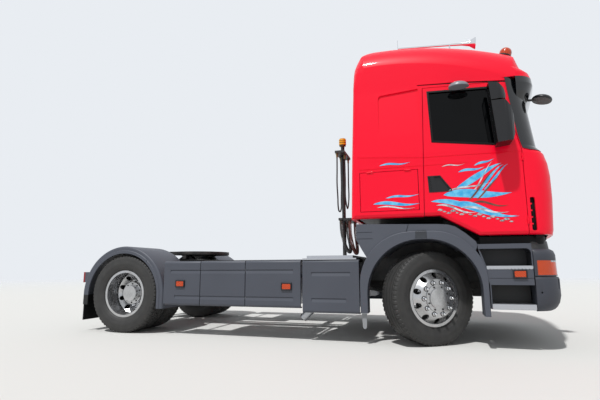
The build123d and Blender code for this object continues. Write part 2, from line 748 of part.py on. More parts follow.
hose_route_a = [(-945, -740, 2262), (-945, -740, 2080), (-950, -752, 1870), (-941, -748, 1690), (-946, -728, 1590),
                (-950, -672, 1524), (-945, -596, 1520), (-941, -534, 1580), (-947, -512, 1700), (-941, -506, 1880),
                (-945, -500, 2080), (-945, -500, 2262)]
hose_route_b = [(-865, -640, 2262), (-865, -640, 2100), (-860, -652, 1900), (-867, -648, 1740), (-864, -628, 1640),
                (-860, -572, 1574), (-866, -496, 1570), (-868, -434, 1630), (-862, -410, 1750), (-868, -402, 1920),
                (-865, -400, 2100), (-865, -400, 2262)]
coil_route = [(-905, -750, 1392), (-905, -750, 1280), (-884, -744, 1160), (-862, -700, 1062), (-846, -620, 1012),
              (-842, -510, 1008), (-852, -424, 1050), (-872, -370, 1140), (-905, -352, 1268), (-905, -352, 1392)]

coil_route_b = [(-800, -730, 1392), (-800, -730, 1275), (-788, -726, 1150), (-770, -690, 1050), (-758, -615, 992),
                (-756, -505, 990), (-764, -424, 1040), (-780, -372, 1140), (-800, -355, 1268), (-800, -355, 1392)]


def tube(points, diameter):
    """Straight runs joined by arcs as large as the runs allow."""
    corners = [Vector(*p) for p in points]
    radii = []
    for before, here, after in zip(corners, corners[1:], corners[2:]):
        turn = math.radians((here - before).get_angle(after - here))
        radii.append(0.45 * min((here - before).length, (after - here).length) / math.tan(turn / 2))
    path = FilletPolyline(*points, radius=radii)
    start = Plane(origin=path @ 0, z_dir=path % 0)
    solid = sweep(start * Circle(diameter / 2), path=path)
    print("hose", round(path.length), "mm, tightest bend", round(min(radii)), "volume ratio",
          round(solid.volume / (math.pi * diameter ** 2 / 4 * path.length), 3))
    return solid


# Cab

def side_cut(points, floor_y):
    """Groove in the right side, cut in to floor_y."""
    return side_prism(points, -1400, -floor_y)


def under_turn():
    """What the rounded lower edge of the right side leaves out."""
    faces = [Pos(0, -cab_side_y + depth, 0) * grown(below_cab_outline, cut) for depth, cut in under_turn_steps]
    return loft(faces, ruled=True)


def sleeper_recess():
    """Shallow panel in the right side that fades out downwards."""
    face = polygon(Plane.XZ, recess_outline)
    face = fillet(face.vertices().sort_by_distance((recess_outline[1][0], 0, recess_outline[1][1]))[0], 45)
    low, high = recess_outline[0][1], recess_outline[2][1]
    slope = (cab_side_y - cab_levels[-1][2]) / (roof_base - screen_base)
    low_y = -cab_side_y + slope * (low - screen_base)
    high_y = -cab_side_y + slope * (high - screen_base) + recess_depth
    wedge = polygon(Plane.YZ, [(-1400, low), (low_y, low), (high_y, high), (-1400, high)])
    wedge = Pos(-600, 0, 0) * extrude(wedge, amount=900, dir=(1, 0, 0))
    return wedge & (Pos(0, -1400, 0) * extrude(face, amount=400, dir=(0, 1, 0)))


def cab_pieces():
    skin = cab_skin()
    gutter = side_cut(gutter_line, gutter_floor)
    turn = under_turn()
    skin -= gutter + other_side(gutter)
    right_door_hole = grown_prism(door_outline, door_gap / 2, -1400, -1000)
    locker_hole = grown_prism(locker_outline, door_gap / 2, -1400, -1000)
    front_x = hinge_x + door_gap / 2
    rear_x = -600
    # the front holds the panel below the screen, the corners and the pillars
    pillar = [(front_x, 1000), (front_x, 1990), (930, roof_base - 10), (930, roof_base + 40), (1700, roof_base + 40),
              (1700, 1000)]
    front_zone = side_prism(pillar, -1400, 1400)
    front = (skin & front_zone) - (right_door_hole + other_side(right_door_hole))
    screen_zone = block(1000, 1700, -screen_half, screen_half, screen_base, screen_top)
    front -= screen_zone
    grille_zone = block(1300, 1700, -grille_half, grille_half, *grille_heights)
    front -= grille_zone
    slot = corner_slot()
    front = front - turn - other_side(turn) - slot - other_side(slot)
    screen = cab_skin(8, 18) & screen_zone
    slats = grille(grille_zone)
    covers = cab_skin(-pillar_cover, -0.2) & side_prism(pillar_cover_outline, -1400, 1400)
    covers -= block(900, 1700, -screen_half - 2, screen_half + 2, 1900, roof_base + 10)
    rest = skin - front_zone
    back = (rest & block(-900, rear_x, -1400, 1400, 1000, roof_base + 40)) - turn - other_side(turn)
    right = rest & block(rear_x, 1500, -1400, 0, 1000, roof_base + 40)
    creases = side_cut(upper_crease, crease_floor) + side_cut(lower_crease, crease_floor)
    right = right - right_door_hole - locker_hole - turn - creases - sleeper_recess()
    door = cab_skin(0, 42) & grown_prism(door_outline, -door_gap / 2, -1400, -1000)
    pane_hole = grown_prism(window_outline, 0, -1400, -1000)
    pane = cab_skin(14, 14 + window_glass) & pane_hole
    door = door - pane_hole - turn - creases
    door -= side_prism(handle_outline, -1300, -cab_side_y + 25)
    lid = cab_skin(0, 25) & grown_prism(locker_outline, -door_gap / 2, -1400, -1000)
    front, door = door_hinges(front, door)
    right, lid = lid_hinges(right, lid)
    left = other_side(right)
    return front, screen, slats, covers, back, right, left, door, pane, lid


def corner_slot():
    """Upright air slot in the cab's front corner, with its bridges left standing."""
    slot = block(1114, 1158, -1400, -cab_side_y + 36, 1165, 1500)
    slot = fillet(slot.edges().filter_by(Axis.Y), 16)
    for z in (1232, 1299, 1366, 1433):
        slot -= block(1110, 1128, -1400, -1100, z - 7, z + 7)
    return slot


def hinge_parts(low, axis_bar):
    """One butt hinge along a bar function: the fixed knuckle, the moving knuckles with the pin, the notch."""
    fixed = axis_bar(hinge_barrel_radius, low + 20, low + 50) - axis_bar(hinge_pin_radius + bearing_gap, low, low + 70)
    moving = axis_bar(hinge_barrel_radius, low, low + 19.7) + axis_bar(hinge_barrel_radius, low + 50.3, low + 70)
    moving += axis_bar(hinge_pin_radius, low, low + 70)
    notch = axis_bar(hinge_barrel_radius + 3, low - 2, low + 72)
    return fixed, moving, notch


def door_hinges(front, door):
    y = -cab_side_y - hinge_proud
    leaf = 18
    for z in door_hinge_heights:
        fixed, moving, notch = hinge_parts(z, lambda radius, z0, z1: bar_z(hinge_x, y, radius, z0, z1))
        hole = bar_z(hinge_x, y, hinge_pin_radius + bearing_gap, z, z + 70)
        fixed += block(hinge_x, hinge_x + 20, y, y + leaf, z + 20, z + 50) - hole
        moving += block(hinge_x - 20, hinge_x, y, y + leaf, z, z + 19.7)
        moving += block(hinge_x - 20, hinge_x, y, y + leaf, z + 50.3, z + 70)
        front = (front - notch - other_side(notch)) + fixed + other_side(fixed)
        door = (door - notch) + moving
    return front, door


def lid_hinges(side, lid):
    y = -cab_side_y - hinge_proud
    z = locker_outline[1][1]
    for x in lid_hinge_places:
        fixed, moving, notch = hinge_parts(x, lambda radius, x0, x1: bar_x(y, z, radius, x0, x1))
        hole = bar_x(y, z, hinge_pin_radius + bearing_gap, x, x + 70)
        fixed += block(x + 20, x + 50, y, y + 8, z, z + 20) - hole
        moving += block(x, x + 19.7, y, y + 8, z - 20, z)
        moving += block(x + 50.3, x + 70, y, y + 8, z - 20, z)
        side = (side - notch) + fixed
        lid = (lid - notch) + moving
    return side, lid


def grille(zone):
    made = cab_skin(6, 36) & zone
    for i in range(5):
        z = 1245 + 100 * i
        made -= block(1300, 1700, -770, 770, z - 27, z + 27)
    return made


def roof_form(inset=0.0, below=0.0):
    """Walls by levels, shoulders and ridge that fall forward on a large circle, and a round rear edge."""
    body = lofted([(roof_base + level[0],) + level[1:] for level in roof_levels], inset, below)
    r = roof_shoulder_radius
    half = roof_levels[0][2] - inset
    top = roof_base + roof_shoulder_rise - inset
    crown = roof_base + roof_crown_rise - inset
    base = roof_base - 250
    mid = math.sqrt(0.5) * r
    wall = Polyline((-half, top - r), (-half, base), (half, base), (half, top - r))
    right = ThreePointArc((-half, top - r), (-half + r - mid, top - r + mid), (-half + r, top))
    left = ThreePointArc((half, top - r), (half - r + mid, top - r + mid), (half - r, top))
    over = ThreePointArc((-half + r, top), (0, crown), (half - r, top))
    across = Plane.YZ * make_face(wall.edges() + [right.edge(), left.edge(), over.edge()])
    centre_z = roof_base + roof_shoulder_rise - roof_circle_radius
    ring = revolve(Rot(0, -9, 0) * (Pos(0, 0, -centre_z) * across), Axis.Y, 42)
    body &= Pos(roof_circle_x, 0, centre_z) * ring
    rear = roof_levels[-1][3] + inset
    level = roof_base + roof_rear_rise
    (low_r, low_turn), (high_r, high_turn) = roof_rear_arcs
    low_arc = JernArc((rear, level), (0, 1), low_r - inset, -low_turn)
    high_arc = JernArc(low_arc @ 1, low_arc % 1, high_r - inset, -high_turn)
    end = high_arc @ 1
    along = Polyline((end.X, end.Y), (1700, end.Y), (1700, base), (rear - 60, base), (rear - 60, level), (rear, level))
    profile = make_face([low_arc.edge(), high_arc.edge()] + along.edges())
    return body & (Pos(0, -1400, 0) * extrude(Plane.XZ * profile, amount=2800, dir=(0, 1, 0)))


def cab_roof():
    shell = roof_form() - roof_form(cab_wall, 60)
    soffit = roof_form() & block(1130, 1500, -1300, 1300, roof_base, roof_base + 26)
    gutter = side_cut(gutter_line, gutter_floor)
    lamp = block(936, 966, -1300, -1190, roof_base + 150, roof_base + 178)
    return shell + soffit - gutter - other_side(gutter) - lamp - other_side(lamp)


def sun_visor():
    low, high = visor_levels[0], visor_levels[-1]
    inner = [(low[0] - 10,) + low[1:]] + visor_levels[1:-1] + [(high[0] + 8,) + high[1:]]
    shell = lofted(visor_levels) - lofted(inner, visor_wall)
    return (shell & block(1090, 1500, -1300, 1300, low[0], high[0])) - lofted(cab_levels, -pillar_cover - 0.2)


def cab_floor():
    half = cab_side_y - cab_wall - 12
    low = floor_outline
    high = [(x, z + floor_thickness) for x, z in reversed(low)]
    floor = side_prism(low + high, -half, half)
    floor &= lofted(cab_levels, cab_wall)
    floor -= block(-700, 1500, -tunnel_half, tunnel_half, 1000, 1600)
    tunnel = block(-625, 1300, -tunnel_half - 30, tunnel_half + 30, 1240, tunnel_top + 30)
    tunnel -= block(-626, 1301, -tunnel_half, tunnel_half, 1200, tunnel_top)
    floor += tunnel & side_prism(low[:3] + [(1400, 1200), (1400, 1600), (-625, 1600)], -500, 500)
    # seat pedestals
    for side in (-1, 1):
        y = side * 640
        floor += block(300, 700, y - 160, y + 160, 1235, 1640)
    # tilt arms down to the pivot
    for side in (-1, 1):
        y = side * 525
        arm = side_prism([(tilt_x - 45, tilt_z - 15), (tilt_x + 10, tilt_z + 46), (880, 1205), (780, 1205)], y - 20, y + 20)
        arm += bar_y(tilt_x, tilt_z, 48, y - 20, y + 20)
        arm -= bar_y(tilt_x, tilt_z, tilt_pin_radius + 0.08, y - 30, y + 30)
        floor += arm
    return floor


def bunk_box():
    """Luggage box across the rear under the bunk, open at the side lockers."""
    half = cab_side_y - cab_wall - 12
    box = block(-600, 60, -half, half, 1402, 1880) - block(-575, 35, -half - 1, half + 1, 1401, 1855)
    return box - block(-610, 70, -tunnel_half - 30, tunnel_half + 30, 1400, tunnel_top + 30)


def dashboard():
    outline = [(1010, 1560), (960, 1760), (1000, 1965), (1120, 2020), (1250, 2015), (1500, 2000), (1500, 1740),
               (1300, 1560)]
    return side_prism(outline, -1150, 1150) & lofted(cab_levels, cab_wall)


def steering_wheel():
    ring = Torus(225, 16)
    hub = Cylinder(65, 40)
    spokes = Box(430, 40, 14) + Pos(0, -105, 0) * Box(50, 200, 14)
    column = Pos(0, 0, -190) * Cylinder(32, 360)
    wheel = ring + hub + spokes + column
    return Pos(850, 620, 2010) * Rot(0, -38, 0) * Rot(0, 0, 90) * wheel - dashboard()


def seats():
    outline = [(330, 1640.3), (760, 1640.3), (800, 1700), (770, 1780), (420, 1770), (320, 2420), (300, 2620), (215, 2610),
               (215, 2420), (280, 1700)]
    made = [side_prism(outline, y - 250, y + 250) for y in (-640, 640)]
    return solids_of(*made)


def bunk():
    return block(-590, 50, -1150, 1150, 1880.3, 2020)


def roof_horn():
    """Trumpet, pipe and legs, leaning forward with the roof, and the thin aerial beside its rear leg."""
    y = -750
    bell = spin_y([(0, 0), (14, 0), (18, 130), (34, 215), (71, 275), (71, 284), (0, 284)])
    pipe = bar_x(0, 0, 13, -390, 250)
    horn = pipe + Pos(235, 0, 0) * Rot(0, 0, -90) * bell
    z = roof_base + roof_shoulder_rise + 51
    horn = Pos(268, y, z) * Rot(0, 4.8, 0) * horn
    legs = bar_z(-105, y, 9, z - 126, z + 32) + bar_z(490, y, 9, z - 226, z - 19)
    aerial = bar_z(-128, y, 4, z - 126, z + 150) + bar_x(y, z + 25, 7, -130, -100)
    return horn + ((legs + aerial) - roof_form())


def beacons():
    """Domed lamps on the roof's front shoulders, leaning forward with it."""
    radius, dome_z = 66, 47
    bend = math.sqrt(0.5) * radius
    dome = ThreePointArc((radius, dome_z), (bend, dome_z + bend), (0, dome_z + radius))
    side = Polyline((0, dome_z + radius), (0, -80), (58, -80), (58, 0), (radius, 0), (radius, dome_z))
    lamp = revolve(Plane.XZ * make_face([dome.edge()] + side.edges()), Axis.Z)
    lamp = Pos(1068, -850, roof_base + 395) * Rot(0, 20, 0) * lamp
    return pair(lamp - roof_form())


def front_mirror():
    dome = scale(Sphere(1), by=(98, 112, 46)) & block(-120, 120, -120, 120, -14, 60)
    head = Pos(1372, -985, 2592) * Rot(0, 14, 0) * dome
    arm = bar_x(-985, 2600, 12, 1240, 1330) - lofted(visor_levels)
    return head + arm


def mirror_housing(points, glass_top, glass_bottom, front):
    """Rounded shell with the glass let in at its rear face; the outline is seen from the side."""
    y0, y1 = -1505, -1295
    face = polygon(Plane.XZ, points)
    face = fillet(face.vertices().group_by(Axis.X)[-1], 50)
    face = fillet([v for v in face.vertices() if v.X > glass_bottom[0] + 60], 22)
    shell = Pos(0, y0, 0) * extrude(face, amount=y1 - y0, dir=(0, 1, 0))
    plan = polygon(Plane.XY, [(700, y0), (front, y0), (front, y1), (700, y1)])
    plan = fillet(plan.vertices().group_by(Axis.X)[-1], 85)
    shell &= Pos(0, 0, 1900) * extrude(plan, amount=900, dir=(0, 0, 1))
    (x_high, z_high), (x_low, z_low) = glass_top, glass_bottom
    glass = [(x_high - 30, z_high), (x_high + 8, z_high), (x_low + 8, z_low), (x_low - 30, z_low)]
    pocket = side_prism(glass, y0 + 14, y1 - 14)
    return shell - pocket


def door_handle():
    """Tray with a rim, seated in the door's recess, and the grip across it."""
    y = -cab_side_y
    tray = grown_prism(handle_outline, -0.3, y - 4, y + 24.7) - grown_prism(handle_outline, -11, y - 5, y + 18)
    grip = side_prism([(172, 1772), (214, 1772), (238, 1604), (196, 1604)], y - 6, y + 4)
    return tray + grip


def kerb_mirror():
    dome = Pos(518, -1310, 2716) * scale(Sphere(1), by=(105, 75, 64))
    dome &= block(300, 800, -1400, -1200, 2716, 2800)
    arm = block(500, 536, -1260, -1190, 2736, 2752) - lofted(cab_levels)
    return dome + arm


def door_mirrors():
    """Main and wide-angle mirrors with their arms, for the right door."""
    main_outline = [(797, 2455), (925, 2455), (975, 2385), (1003, 2290), (997, 2110), (972, 2035), (830, 2020)]
    main = mirror_housing(main_outline, (799, 2440), (828, 2036), 1003)
    wide_outline = [(783, 2656), (868, 2640), (925, 2580), (945, 2520), (940, 2474), (797, 2463)]
    wide = mirror_housing(wide_outline, (785, 2640), (795, 2478), 945)
    arms = block(930, 975, -1310, -1180, 2070, 2110) + block(870, 910, -1310, -1180, 2560, 2600)
    link = block(880, 915, -1420, -1360, 2440, 2480)
    return main + wide + link + (arms - lofted(cab_levels))


# Wheels

def tyre():
    half = tyre_width / 2
    tread = tread_width / 2
    flange = rim_width / 2
    r = ground_to_axle
    outline = [(rim_seat_radius, 14 - flange), (rim_flange_radius + 1, 13 - flange), (rim_flange_radius + 3, -flange - 3),
               (r - 110, -half), (r - 55, -half + 6), (r - 18, -tread - 4), (r, -tread + 14)]
    return spin_y(outline + [(radius, -y) for radius, y in reversed(outline)])


def rim_and_disc():
    """One wheel, its mounting face outboard at -Y. Turned round, it is the outer rear wheel."""
    flange = rim_width / 2
    seat = rim_seat_radius - 0.3
    inside = seat - rim_wall
    barrel = [(inside, -flange), (rim_flange_radius, -flange), (rim_flange_radius, 11 - flange), (seat, 13 - flange)]
    rim = spin_y(barrel + [(radius, -y) for radius, y in reversed(barrel)])
    face = -wheel_offset
    disc = spin_y([(hub_pilot_radius, face), (198, face), (inside + 2, face + 70), (inside + 2, face + 70 + disc_wall),
                   (192, face + disc_wall), (hub_pilot_radius, face + disc_wall)])
    for i in range(hand_hole_count):
        hole = Rot(0, 360 / hand_hole_count * (i + 0.5), 0) * bar_y(234, 0, hand_hole_radius, face - 20, face + 110)
        disc -= hole
    return rim + disc


def front_rim():
    hub = bar_y(0, 0, hub_pilot_radius + 1, -wheel_offset - 12, -wheel_offset + disc_wall)
    hub += bar_y(0, 0, hub_cap_radius, -wheel_offset - hub_cap_proud, -wheel_offset)
    hub += bar_y(0, 0, 120, -wheel_offset, 38)
    hub -= bar_y(0, 0, 42 + bearing_gap, -120, 39)
    return rim_and_disc() + hub


def rear_rims():
    outer = other_side(rim_and_disc())
    inner = Pos(0, dual_spacing, 0) * rim_and_disc()
    hub = bar_y(0, 0, hub_pilot_radius + 1, 30, dual_spacing - 30) + bar_y(0, 0, 100, -24, 60)
    hub -= bar_y(0, 0, 48 + bearing_gap, 50, dual_spacing)
    return outer + inner + hub


def steered(shape):
    """Turns a right-hand piece about its kingpin into the parked position."""
    return Pos(0, -kingpin_y, 0) * Rot(0, 0, steer_angle) * Pos(0, kingpin_y, 0) * shape


def steered_left(shape):
    return Pos(0, kingpin_y, 0) * Rot(0, 0, steer_angle) * Pos(0, -kingpin_y, 0) * other_side(shape)


def build_chassis():
    pieces["frame_rails"] = pair(other_side(rail()))
    pieces["cross_members"] = cross_members()
    pieces["front_axle"] = front_axle()
    pieces["drive_axle"] = drive_axle()
    pieces["suspension"] = build_suspension()
    pieces["engine"] = engine()
    pieces["tanks_and_boxes"] = solids_of(side_tanks(), silencer(), battery_box())
    pieces["side_skirts"] = side_skirts()
    pieces["catwalk"] = catwalk()
    pieces["rear_mudguards"] = rear_mudguards()
    pieces["front_fenders"] = front_fenders()
    pieces["step_housings"] = step_housings()
    pieces["step_treads"] = step_treads()
    pieces["bumper"] = bumper()
    pieces["front_apron"] = front_apron()
    pieces["headlamps"] = headlamps()
    pieces["amber_lamps"] = amber_lamps()
    pieces["tail_lamps"] = tail_lamps()
    pieces["coupling_base"] = coupling_base()
    pieces["fifth_wheel"] = fifth_wheel()
    pieces["hose_post"] = hose_post()
    pieces["hose_a"] = tube(hose_route_a, hose_diameter)
    pieces["hose_b"] = tube(hose_route_b, hose_diameter)
    pieces["coiled_hose"] = tube(coil_route, coil_diameter)
    pieces["coiled_hose_b"] = tube(coil_route_b, coil_diameter)


def build_cab():
    front, screen, slats, covers, back, right, left, door, pane, lid = cab_pieces()
    pieces["cab_front"] = front
    pieces["windscreen"] = screen
    pieces["grille"] = slats
    pieces["cab_back"] = back
    pieces["cab_sides"] = solids_of(right, left)
    pieces["cab_roof"] = cab_roof()
    pieces["cab_floor"] = cab_floor()
    pieces["bunk_box"] = bunk_box()
    pieces["sun_visor"] = sun_visor()
    pieces["pillar_covers"] = solids_of(covers)
    pieces["dashboard"] = dashboard()
    pieces["steering_wheel"] = steering_wheel()
    pieces["seats"] = seats()
    pieces["bunk"] = bunk()
    pieces["roof_horn"] = roof_horn()
    pieces["beacons"] = beacons()
    pieces["front_mirror"] = front_mirror()
    for side, place in (("right", lambda s: s), ("left", other_side)):
        pieces["door_" + side] = place(door)
        pieces["door_glass_" + side] = place(pane)
        fittings = solids_of(door_mirrors(), door_handle())
        if side == "right":
            fittings = solids_of(fittings, kerb_mirror())
        pieces["door_mirrors_" + side] = place(fittings)
        pieces["locker_lid_" + side] = place(lid)


def build_wheels():
    front_wheel = Pos(0, -front_tyre_y, ground_to_axle)
    rear_wheel = Pos(-wheelbase, -rear_outer_y, ground_to_axle)
    second = Pos(0, dual_spacing, 0)
    tyre_shape = tyre()
    rim_shape = front_rim()
    pair_rims = rear_rims()
    for side, turn, place in (("right", steered, lambda s: s), ("left", steered_left, other_side)):
        pieces["knuckle_" + side] = turn(knuckle())
        pieces["front_tyre_" + side] = turn(front_wheel * tyre_shape)
        pieces["front_rim_" + side] = turn(front_wheel * rim_shape)
        pieces["rear_tyres_" + side] = place(solids_of(rear_wheel * tyre_shape, rear_wheel * second * tyre_shape))
        pieces["rear_rims_" + side] = place(rear_wheel * pair_rims)


build_chassis()
build_cab()
build_wheels()
os.makedirs("parts", exist_ok=True)
for name, shape in pieces.items():
    export_step(Pos(front_axle_x, 0, 0) * shape, f"parts/{name}.step")
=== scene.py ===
import json
import math

import bpy
from mathutils import Matrix, Vector


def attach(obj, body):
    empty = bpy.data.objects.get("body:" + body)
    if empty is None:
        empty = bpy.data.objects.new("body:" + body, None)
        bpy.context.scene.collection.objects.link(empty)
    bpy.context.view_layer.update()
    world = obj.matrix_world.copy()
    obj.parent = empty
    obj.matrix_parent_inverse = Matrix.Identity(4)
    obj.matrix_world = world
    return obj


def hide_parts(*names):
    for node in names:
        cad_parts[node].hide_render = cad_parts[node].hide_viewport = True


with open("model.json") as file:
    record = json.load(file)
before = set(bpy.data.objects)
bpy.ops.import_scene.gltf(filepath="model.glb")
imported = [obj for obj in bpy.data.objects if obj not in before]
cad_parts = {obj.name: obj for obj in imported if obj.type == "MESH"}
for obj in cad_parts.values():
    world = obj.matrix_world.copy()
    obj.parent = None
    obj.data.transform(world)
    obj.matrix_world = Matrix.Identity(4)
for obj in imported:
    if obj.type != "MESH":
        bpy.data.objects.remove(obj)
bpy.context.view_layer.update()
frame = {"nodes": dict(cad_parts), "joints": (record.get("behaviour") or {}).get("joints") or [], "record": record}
bpy.context.preferences.edit.use_global_undo = False   # no undo copies, which slow long edits
print("frame loaded")

# where the wheels stand, from the frame's own joints
joints = {joint["name"]: joint for joint in frame["joints"]}
frontAxleX = joints["steer_right"]["pos_m"][0]
axleHeight = joints["steer_right"]["pos_m"][2]


# places are in metres from the front axle: X forward, Y to the left, Z up from the ground
def fromAxle(x, y, z):
    return (frontAxleX + x, y, z)


def movedTo(x, y, z):
    return Matrix.Translation(fromAxle(x, y, z))


def rotated(degrees, axis):
    return Matrix.Rotation(math.radians(degrees), 4, axis)


def outlineFromAxle(points):
    return [(frontAxleX + x, z) for x, z in points]


# everything is modelled on the right side
sides = ("right", "left")
mirrored = Matrix.Scale(-1, 4, (0, 1, 0))
bothSides = [Matrix(), mirrored]


# camera, light and floor

camera = {"place": (0.1567, -5.8820, 0.7993),   # where the photo was taken from
          "yaw": -17.289, "pitch": 9.297, "roll": -0.227, "focalPixels": 421.02, "widthPixels": 600,
          "sensor": 36, "farEnd": 200}


def addCamera():
    turn = rotated(-camera["yaw"], "Z") @ rotated(90 + camera["pitch"], "X") @ rotated(camera["roll"], "Z")
    bpy.ops.object.camera_add(location=fromAxle(*camera["place"]), rotation=turn.to_euler())
    eye = bpy.context.object
    eye.name = "camera"
    eye.data.sensor_width = camera["sensor"]
    eye.data.lens = camera["focalPixels"] / camera["widthPixels"] * camera["sensor"]
    eye.data.clip_end = camera["farEnd"]
    bpy.context.scene.camera = eye


studio = {"sky": "#e9edf2", "skyLight": 0.5, "floor": "#d9d8d4", "floorRadius": 45, "floorSides": 96,
          "floorDrop": 0.001, "fadeFrom": 9.0, "fadeTo": 40.0,
          "sunTurn": (30, 0, -14), "sunStrength": 2.9, "sunAngle": 2.0}


def addStudio():
    bpy.context.scene.view_settings.view_transform = "Standard"
    world = bpy.data.worlds.new("studio")
    bpy.context.scene.world = world
    world.use_nodes = True
    tree = world.node_tree
    tree.nodes.clear()
    path = addNode(tree, "LightPath")
    # the backdrop is seen by the eye, in reflections and through glass at full strength
    seen = path.outputs["Is Camera Ray"]
    for kind in ("Is Glossy Ray", "Is Transmission Ray"):
        seen = addNode(tree, "Math", {0: seen, 1: path.outputs[kind]}, operation="MAXIMUM")
    strength = addNode(tree, "MapRange", {"Value": seen, "To Min": studio["skyLight"]})
    back = addNode(tree, "Background", {"Color": hexColor(studio["sky"]), "Strength": strength})
    addNode(tree, "OutputWorld", {"Surface": back})
    bpy.ops.object.light_add(type="SUN", rotation=[math.radians(a) for a in studio["sunTurn"]])
    sun = bpy.context.object
    sun.name = "sun"
    sun.data.energy = studio["sunStrength"]
    sun.data.angle = math.radians(studio["sunAngle"])


def addFloor():
    bpy.ops.mesh.primitive_circle_add(vertices=studio["floorSides"], radius=studio["floorRadius"],
                                      fill_type="NGON", location=(0, 0, -studio["floorDrop"]))
    floor = bpy.context.object
    floor.name = "floor"
    bpy.ops.object.transform_apply(location=True)
    floor.data.materials.append(studioFloor())


# material helpers

def hexColor(code):
    # sRGB hex to the linear colour that a shader wants
    parts = [int(code[i:i + 2], 16) / 255 for i in (1, 3, 5)]
    return [c / 12.92 if c <= 0.04045 else ((c + 0.055) / 1.055) ** 2.4 for c in parts] + [1.0]


def addNode(tree, kind, links=None, **settings):
    # what goes into a socket is another node, an output of one, or a plain number or colour
    node = tree.nodes.new("ShaderNode" + kind)
    for key, value in settings.items():
        setattr(node, key, value)
    for key, value in (links or {}).items():
        if isinstance(value, bpy.types.Node):
            value = value.outputs[0]
        if isinstance(value, bpy.types.NodeSocket):
            tree.links.new(value, node.inputs[key])
        else:
            node.inputs[key].default_value = value
    return node


def newMaterial(name, color, roughness, metallic=0.0, **extra):
    # gives the material, its tree, its shader and the object's own coordinates
    material = bpy.data.materials.new(name)
    material.use_nodes = True
    tree = material.node_tree
    shader = tree.nodes["Principled BSDF"]
    values = {"Base Color": hexColor(color), "Roughness": roughness, "Metallic": metallic, **extra}
    for key, value in values.items():
        shader.inputs[key.replace("_", " ")].default_value = value
    return material, tree, shader, addNode(tree, "TexCoord").outputs["Object"]


def feed(tree, shader, **sources):
    for key, source in sources.items():
        output = source.outputs[0] if isinstance(source, bpy.types.Node) else source
        tree.links.new(output, shader.inputs[key.replace("_", " ")])


def mottle(tree, shader, place, low, high, noise, least=0.0, most=1.0):
    # two colours in soft patches, and gives the patches for other uses
    patches = addNode(tree, "TexNoise", {"Vector": place, **noise})
    part = addNode(tree, "MapRange", {"Value": patches, "From Min": least, "From Max": most})
    color = addNode(tree, "Mix", {0: part, 6: hexColor(low), 7: hexColor(high)}, data_type="RGBA")
    feed(tree, shader, Base_Color=color.outputs[2])
    return patches


def fineRelief(tree, shader, place, scale, detail, distance, strength):
    fine = addNode(tree, "TexNoise", {"Vector": place, "Scale": scale, "Detail": detail})
    bump = addNode(tree, "Bump", {"Height": fine, "Distance": distance, "Strength": strength})
    feed(tree, shader, Normal=bump)


def insideBox(tree, place, low, high):
    # 1 where a point, or the same point on the other side, lies between two corners
    parts = addNode(tree, "SeparateXYZ", {0: place}).outputs
    across = addNode(tree, "Math", {0: parts[1]}, operation="ABSOLUTE")
    near = [addNode(tree, "Math", {0: value, 1: (a + b) / 2, 2: (b - a) / 2}, operation="COMPARE")
            for value, a, b in zip((parts[0], across, parts[2]), fromAxle(*low), fromAxle(*high))]
    flat = addNode(tree, "Math", {0: near[0], 1: near[1]}, operation="MULTIPLY")
    return addNode(tree, "Math", {0: flat, 1: near[2]}, operation="MULTIPLY")


def recolorBoxes(tree, shader, place, zones):
    # another plain colour inside each box, over what the shader has
    for low, high, other in zones:
        before = shader.inputs["Base Color"].links[0].from_socket
        inside = insideBox(tree, place, low, high)
        color = addNode(tree, "Mix", {0: inside, 6: before, 7: hexColor(other)}, data_type="RGBA")
        feed(tree, shader, Base_Color=color.outputs[2])


# materials

waveLength = 0.16   # metres from crest to crest of a wave texture at scale 1


def studioFloor():
    # matt painted studio floor that fades into the backdrop far out
    material, tree, shader, place = newMaterial("matt_floor_paint", studio["floor"], 0.9)
    far = addNode(tree, "VectorMath", {0: place}, operation="LENGTH").outputs["Value"]
    fade = addNode(tree, "MapRange",
                   {"Value": far, "From Min": studio["fadeFrom"], "From Max": studio["fadeTo"]},
                   interpolation_type="SMOOTHSTEP")
    clear = addNode(tree, "BsdfTransparent")
    mix = addNode(tree, "MixShader", {0: fade, 1: shader, 2: clear})
    tree.links.new(mix.outputs[0], tree.nodes["Material Output"].inputs["Surface"])
    return material


def bakedAcrylicPaint(peel=0.008):
    # two-layer acrylic body paint: saturated red base under a clear coat with a faint orange peel
    material, tree, shader, place = newMaterial("baked_acrylic_paint_red", "#f7022c", 0.4, Coat_Weight=0.3,
                                                Coat_Roughness=0.05, Specular_IOR_Level=0.12)
    fineRelief(tree, shader, place, 1 / peel, 1.0, 0.00002, 1.0)
    return material


def mouldedPolypropylene(name, low, high, grain=0.0015, roughness=0.5, zones=()):
    # injection-moulded plastic: fine leather-like grain, slow patches of weathering, other colours by place,
    # painted shade among them
    material, tree, shader, place = newMaterial(name, low, roughness)
    patches = mottle(tree, shader, place, low, high, {"Scale": 2.2, "Detail": 4.0})
    recolorBoxes(tree, shader, place, zones)
    fineRelief(tree, shader, place, 1 / grain, 2.0, 0.00012, 0.6)
    rough = addNode(tree, "MapRange",
                    {"Value": patches, "To Min": roughness - 0.06, "To Max": roughness + 0.08})
    feed(tree, shader, Roughness=rough)
    return material


def sprayedChassisPaint(name, low, high, roughness=0.45):
    # thick chassis paint over rolled or cast steel, dusty in places
    material, tree, shader, place = newMaterial(name, low, roughness)
    mottle(tree, shader, place, low, high, {"Scale": 5.0, "Detail": 6.0, "Roughness": 0.6}, 0.42, 0.72)
    fineRelief(tree, shader, place, 160.0, 3.0, 0.0004, 0.5)
    return material


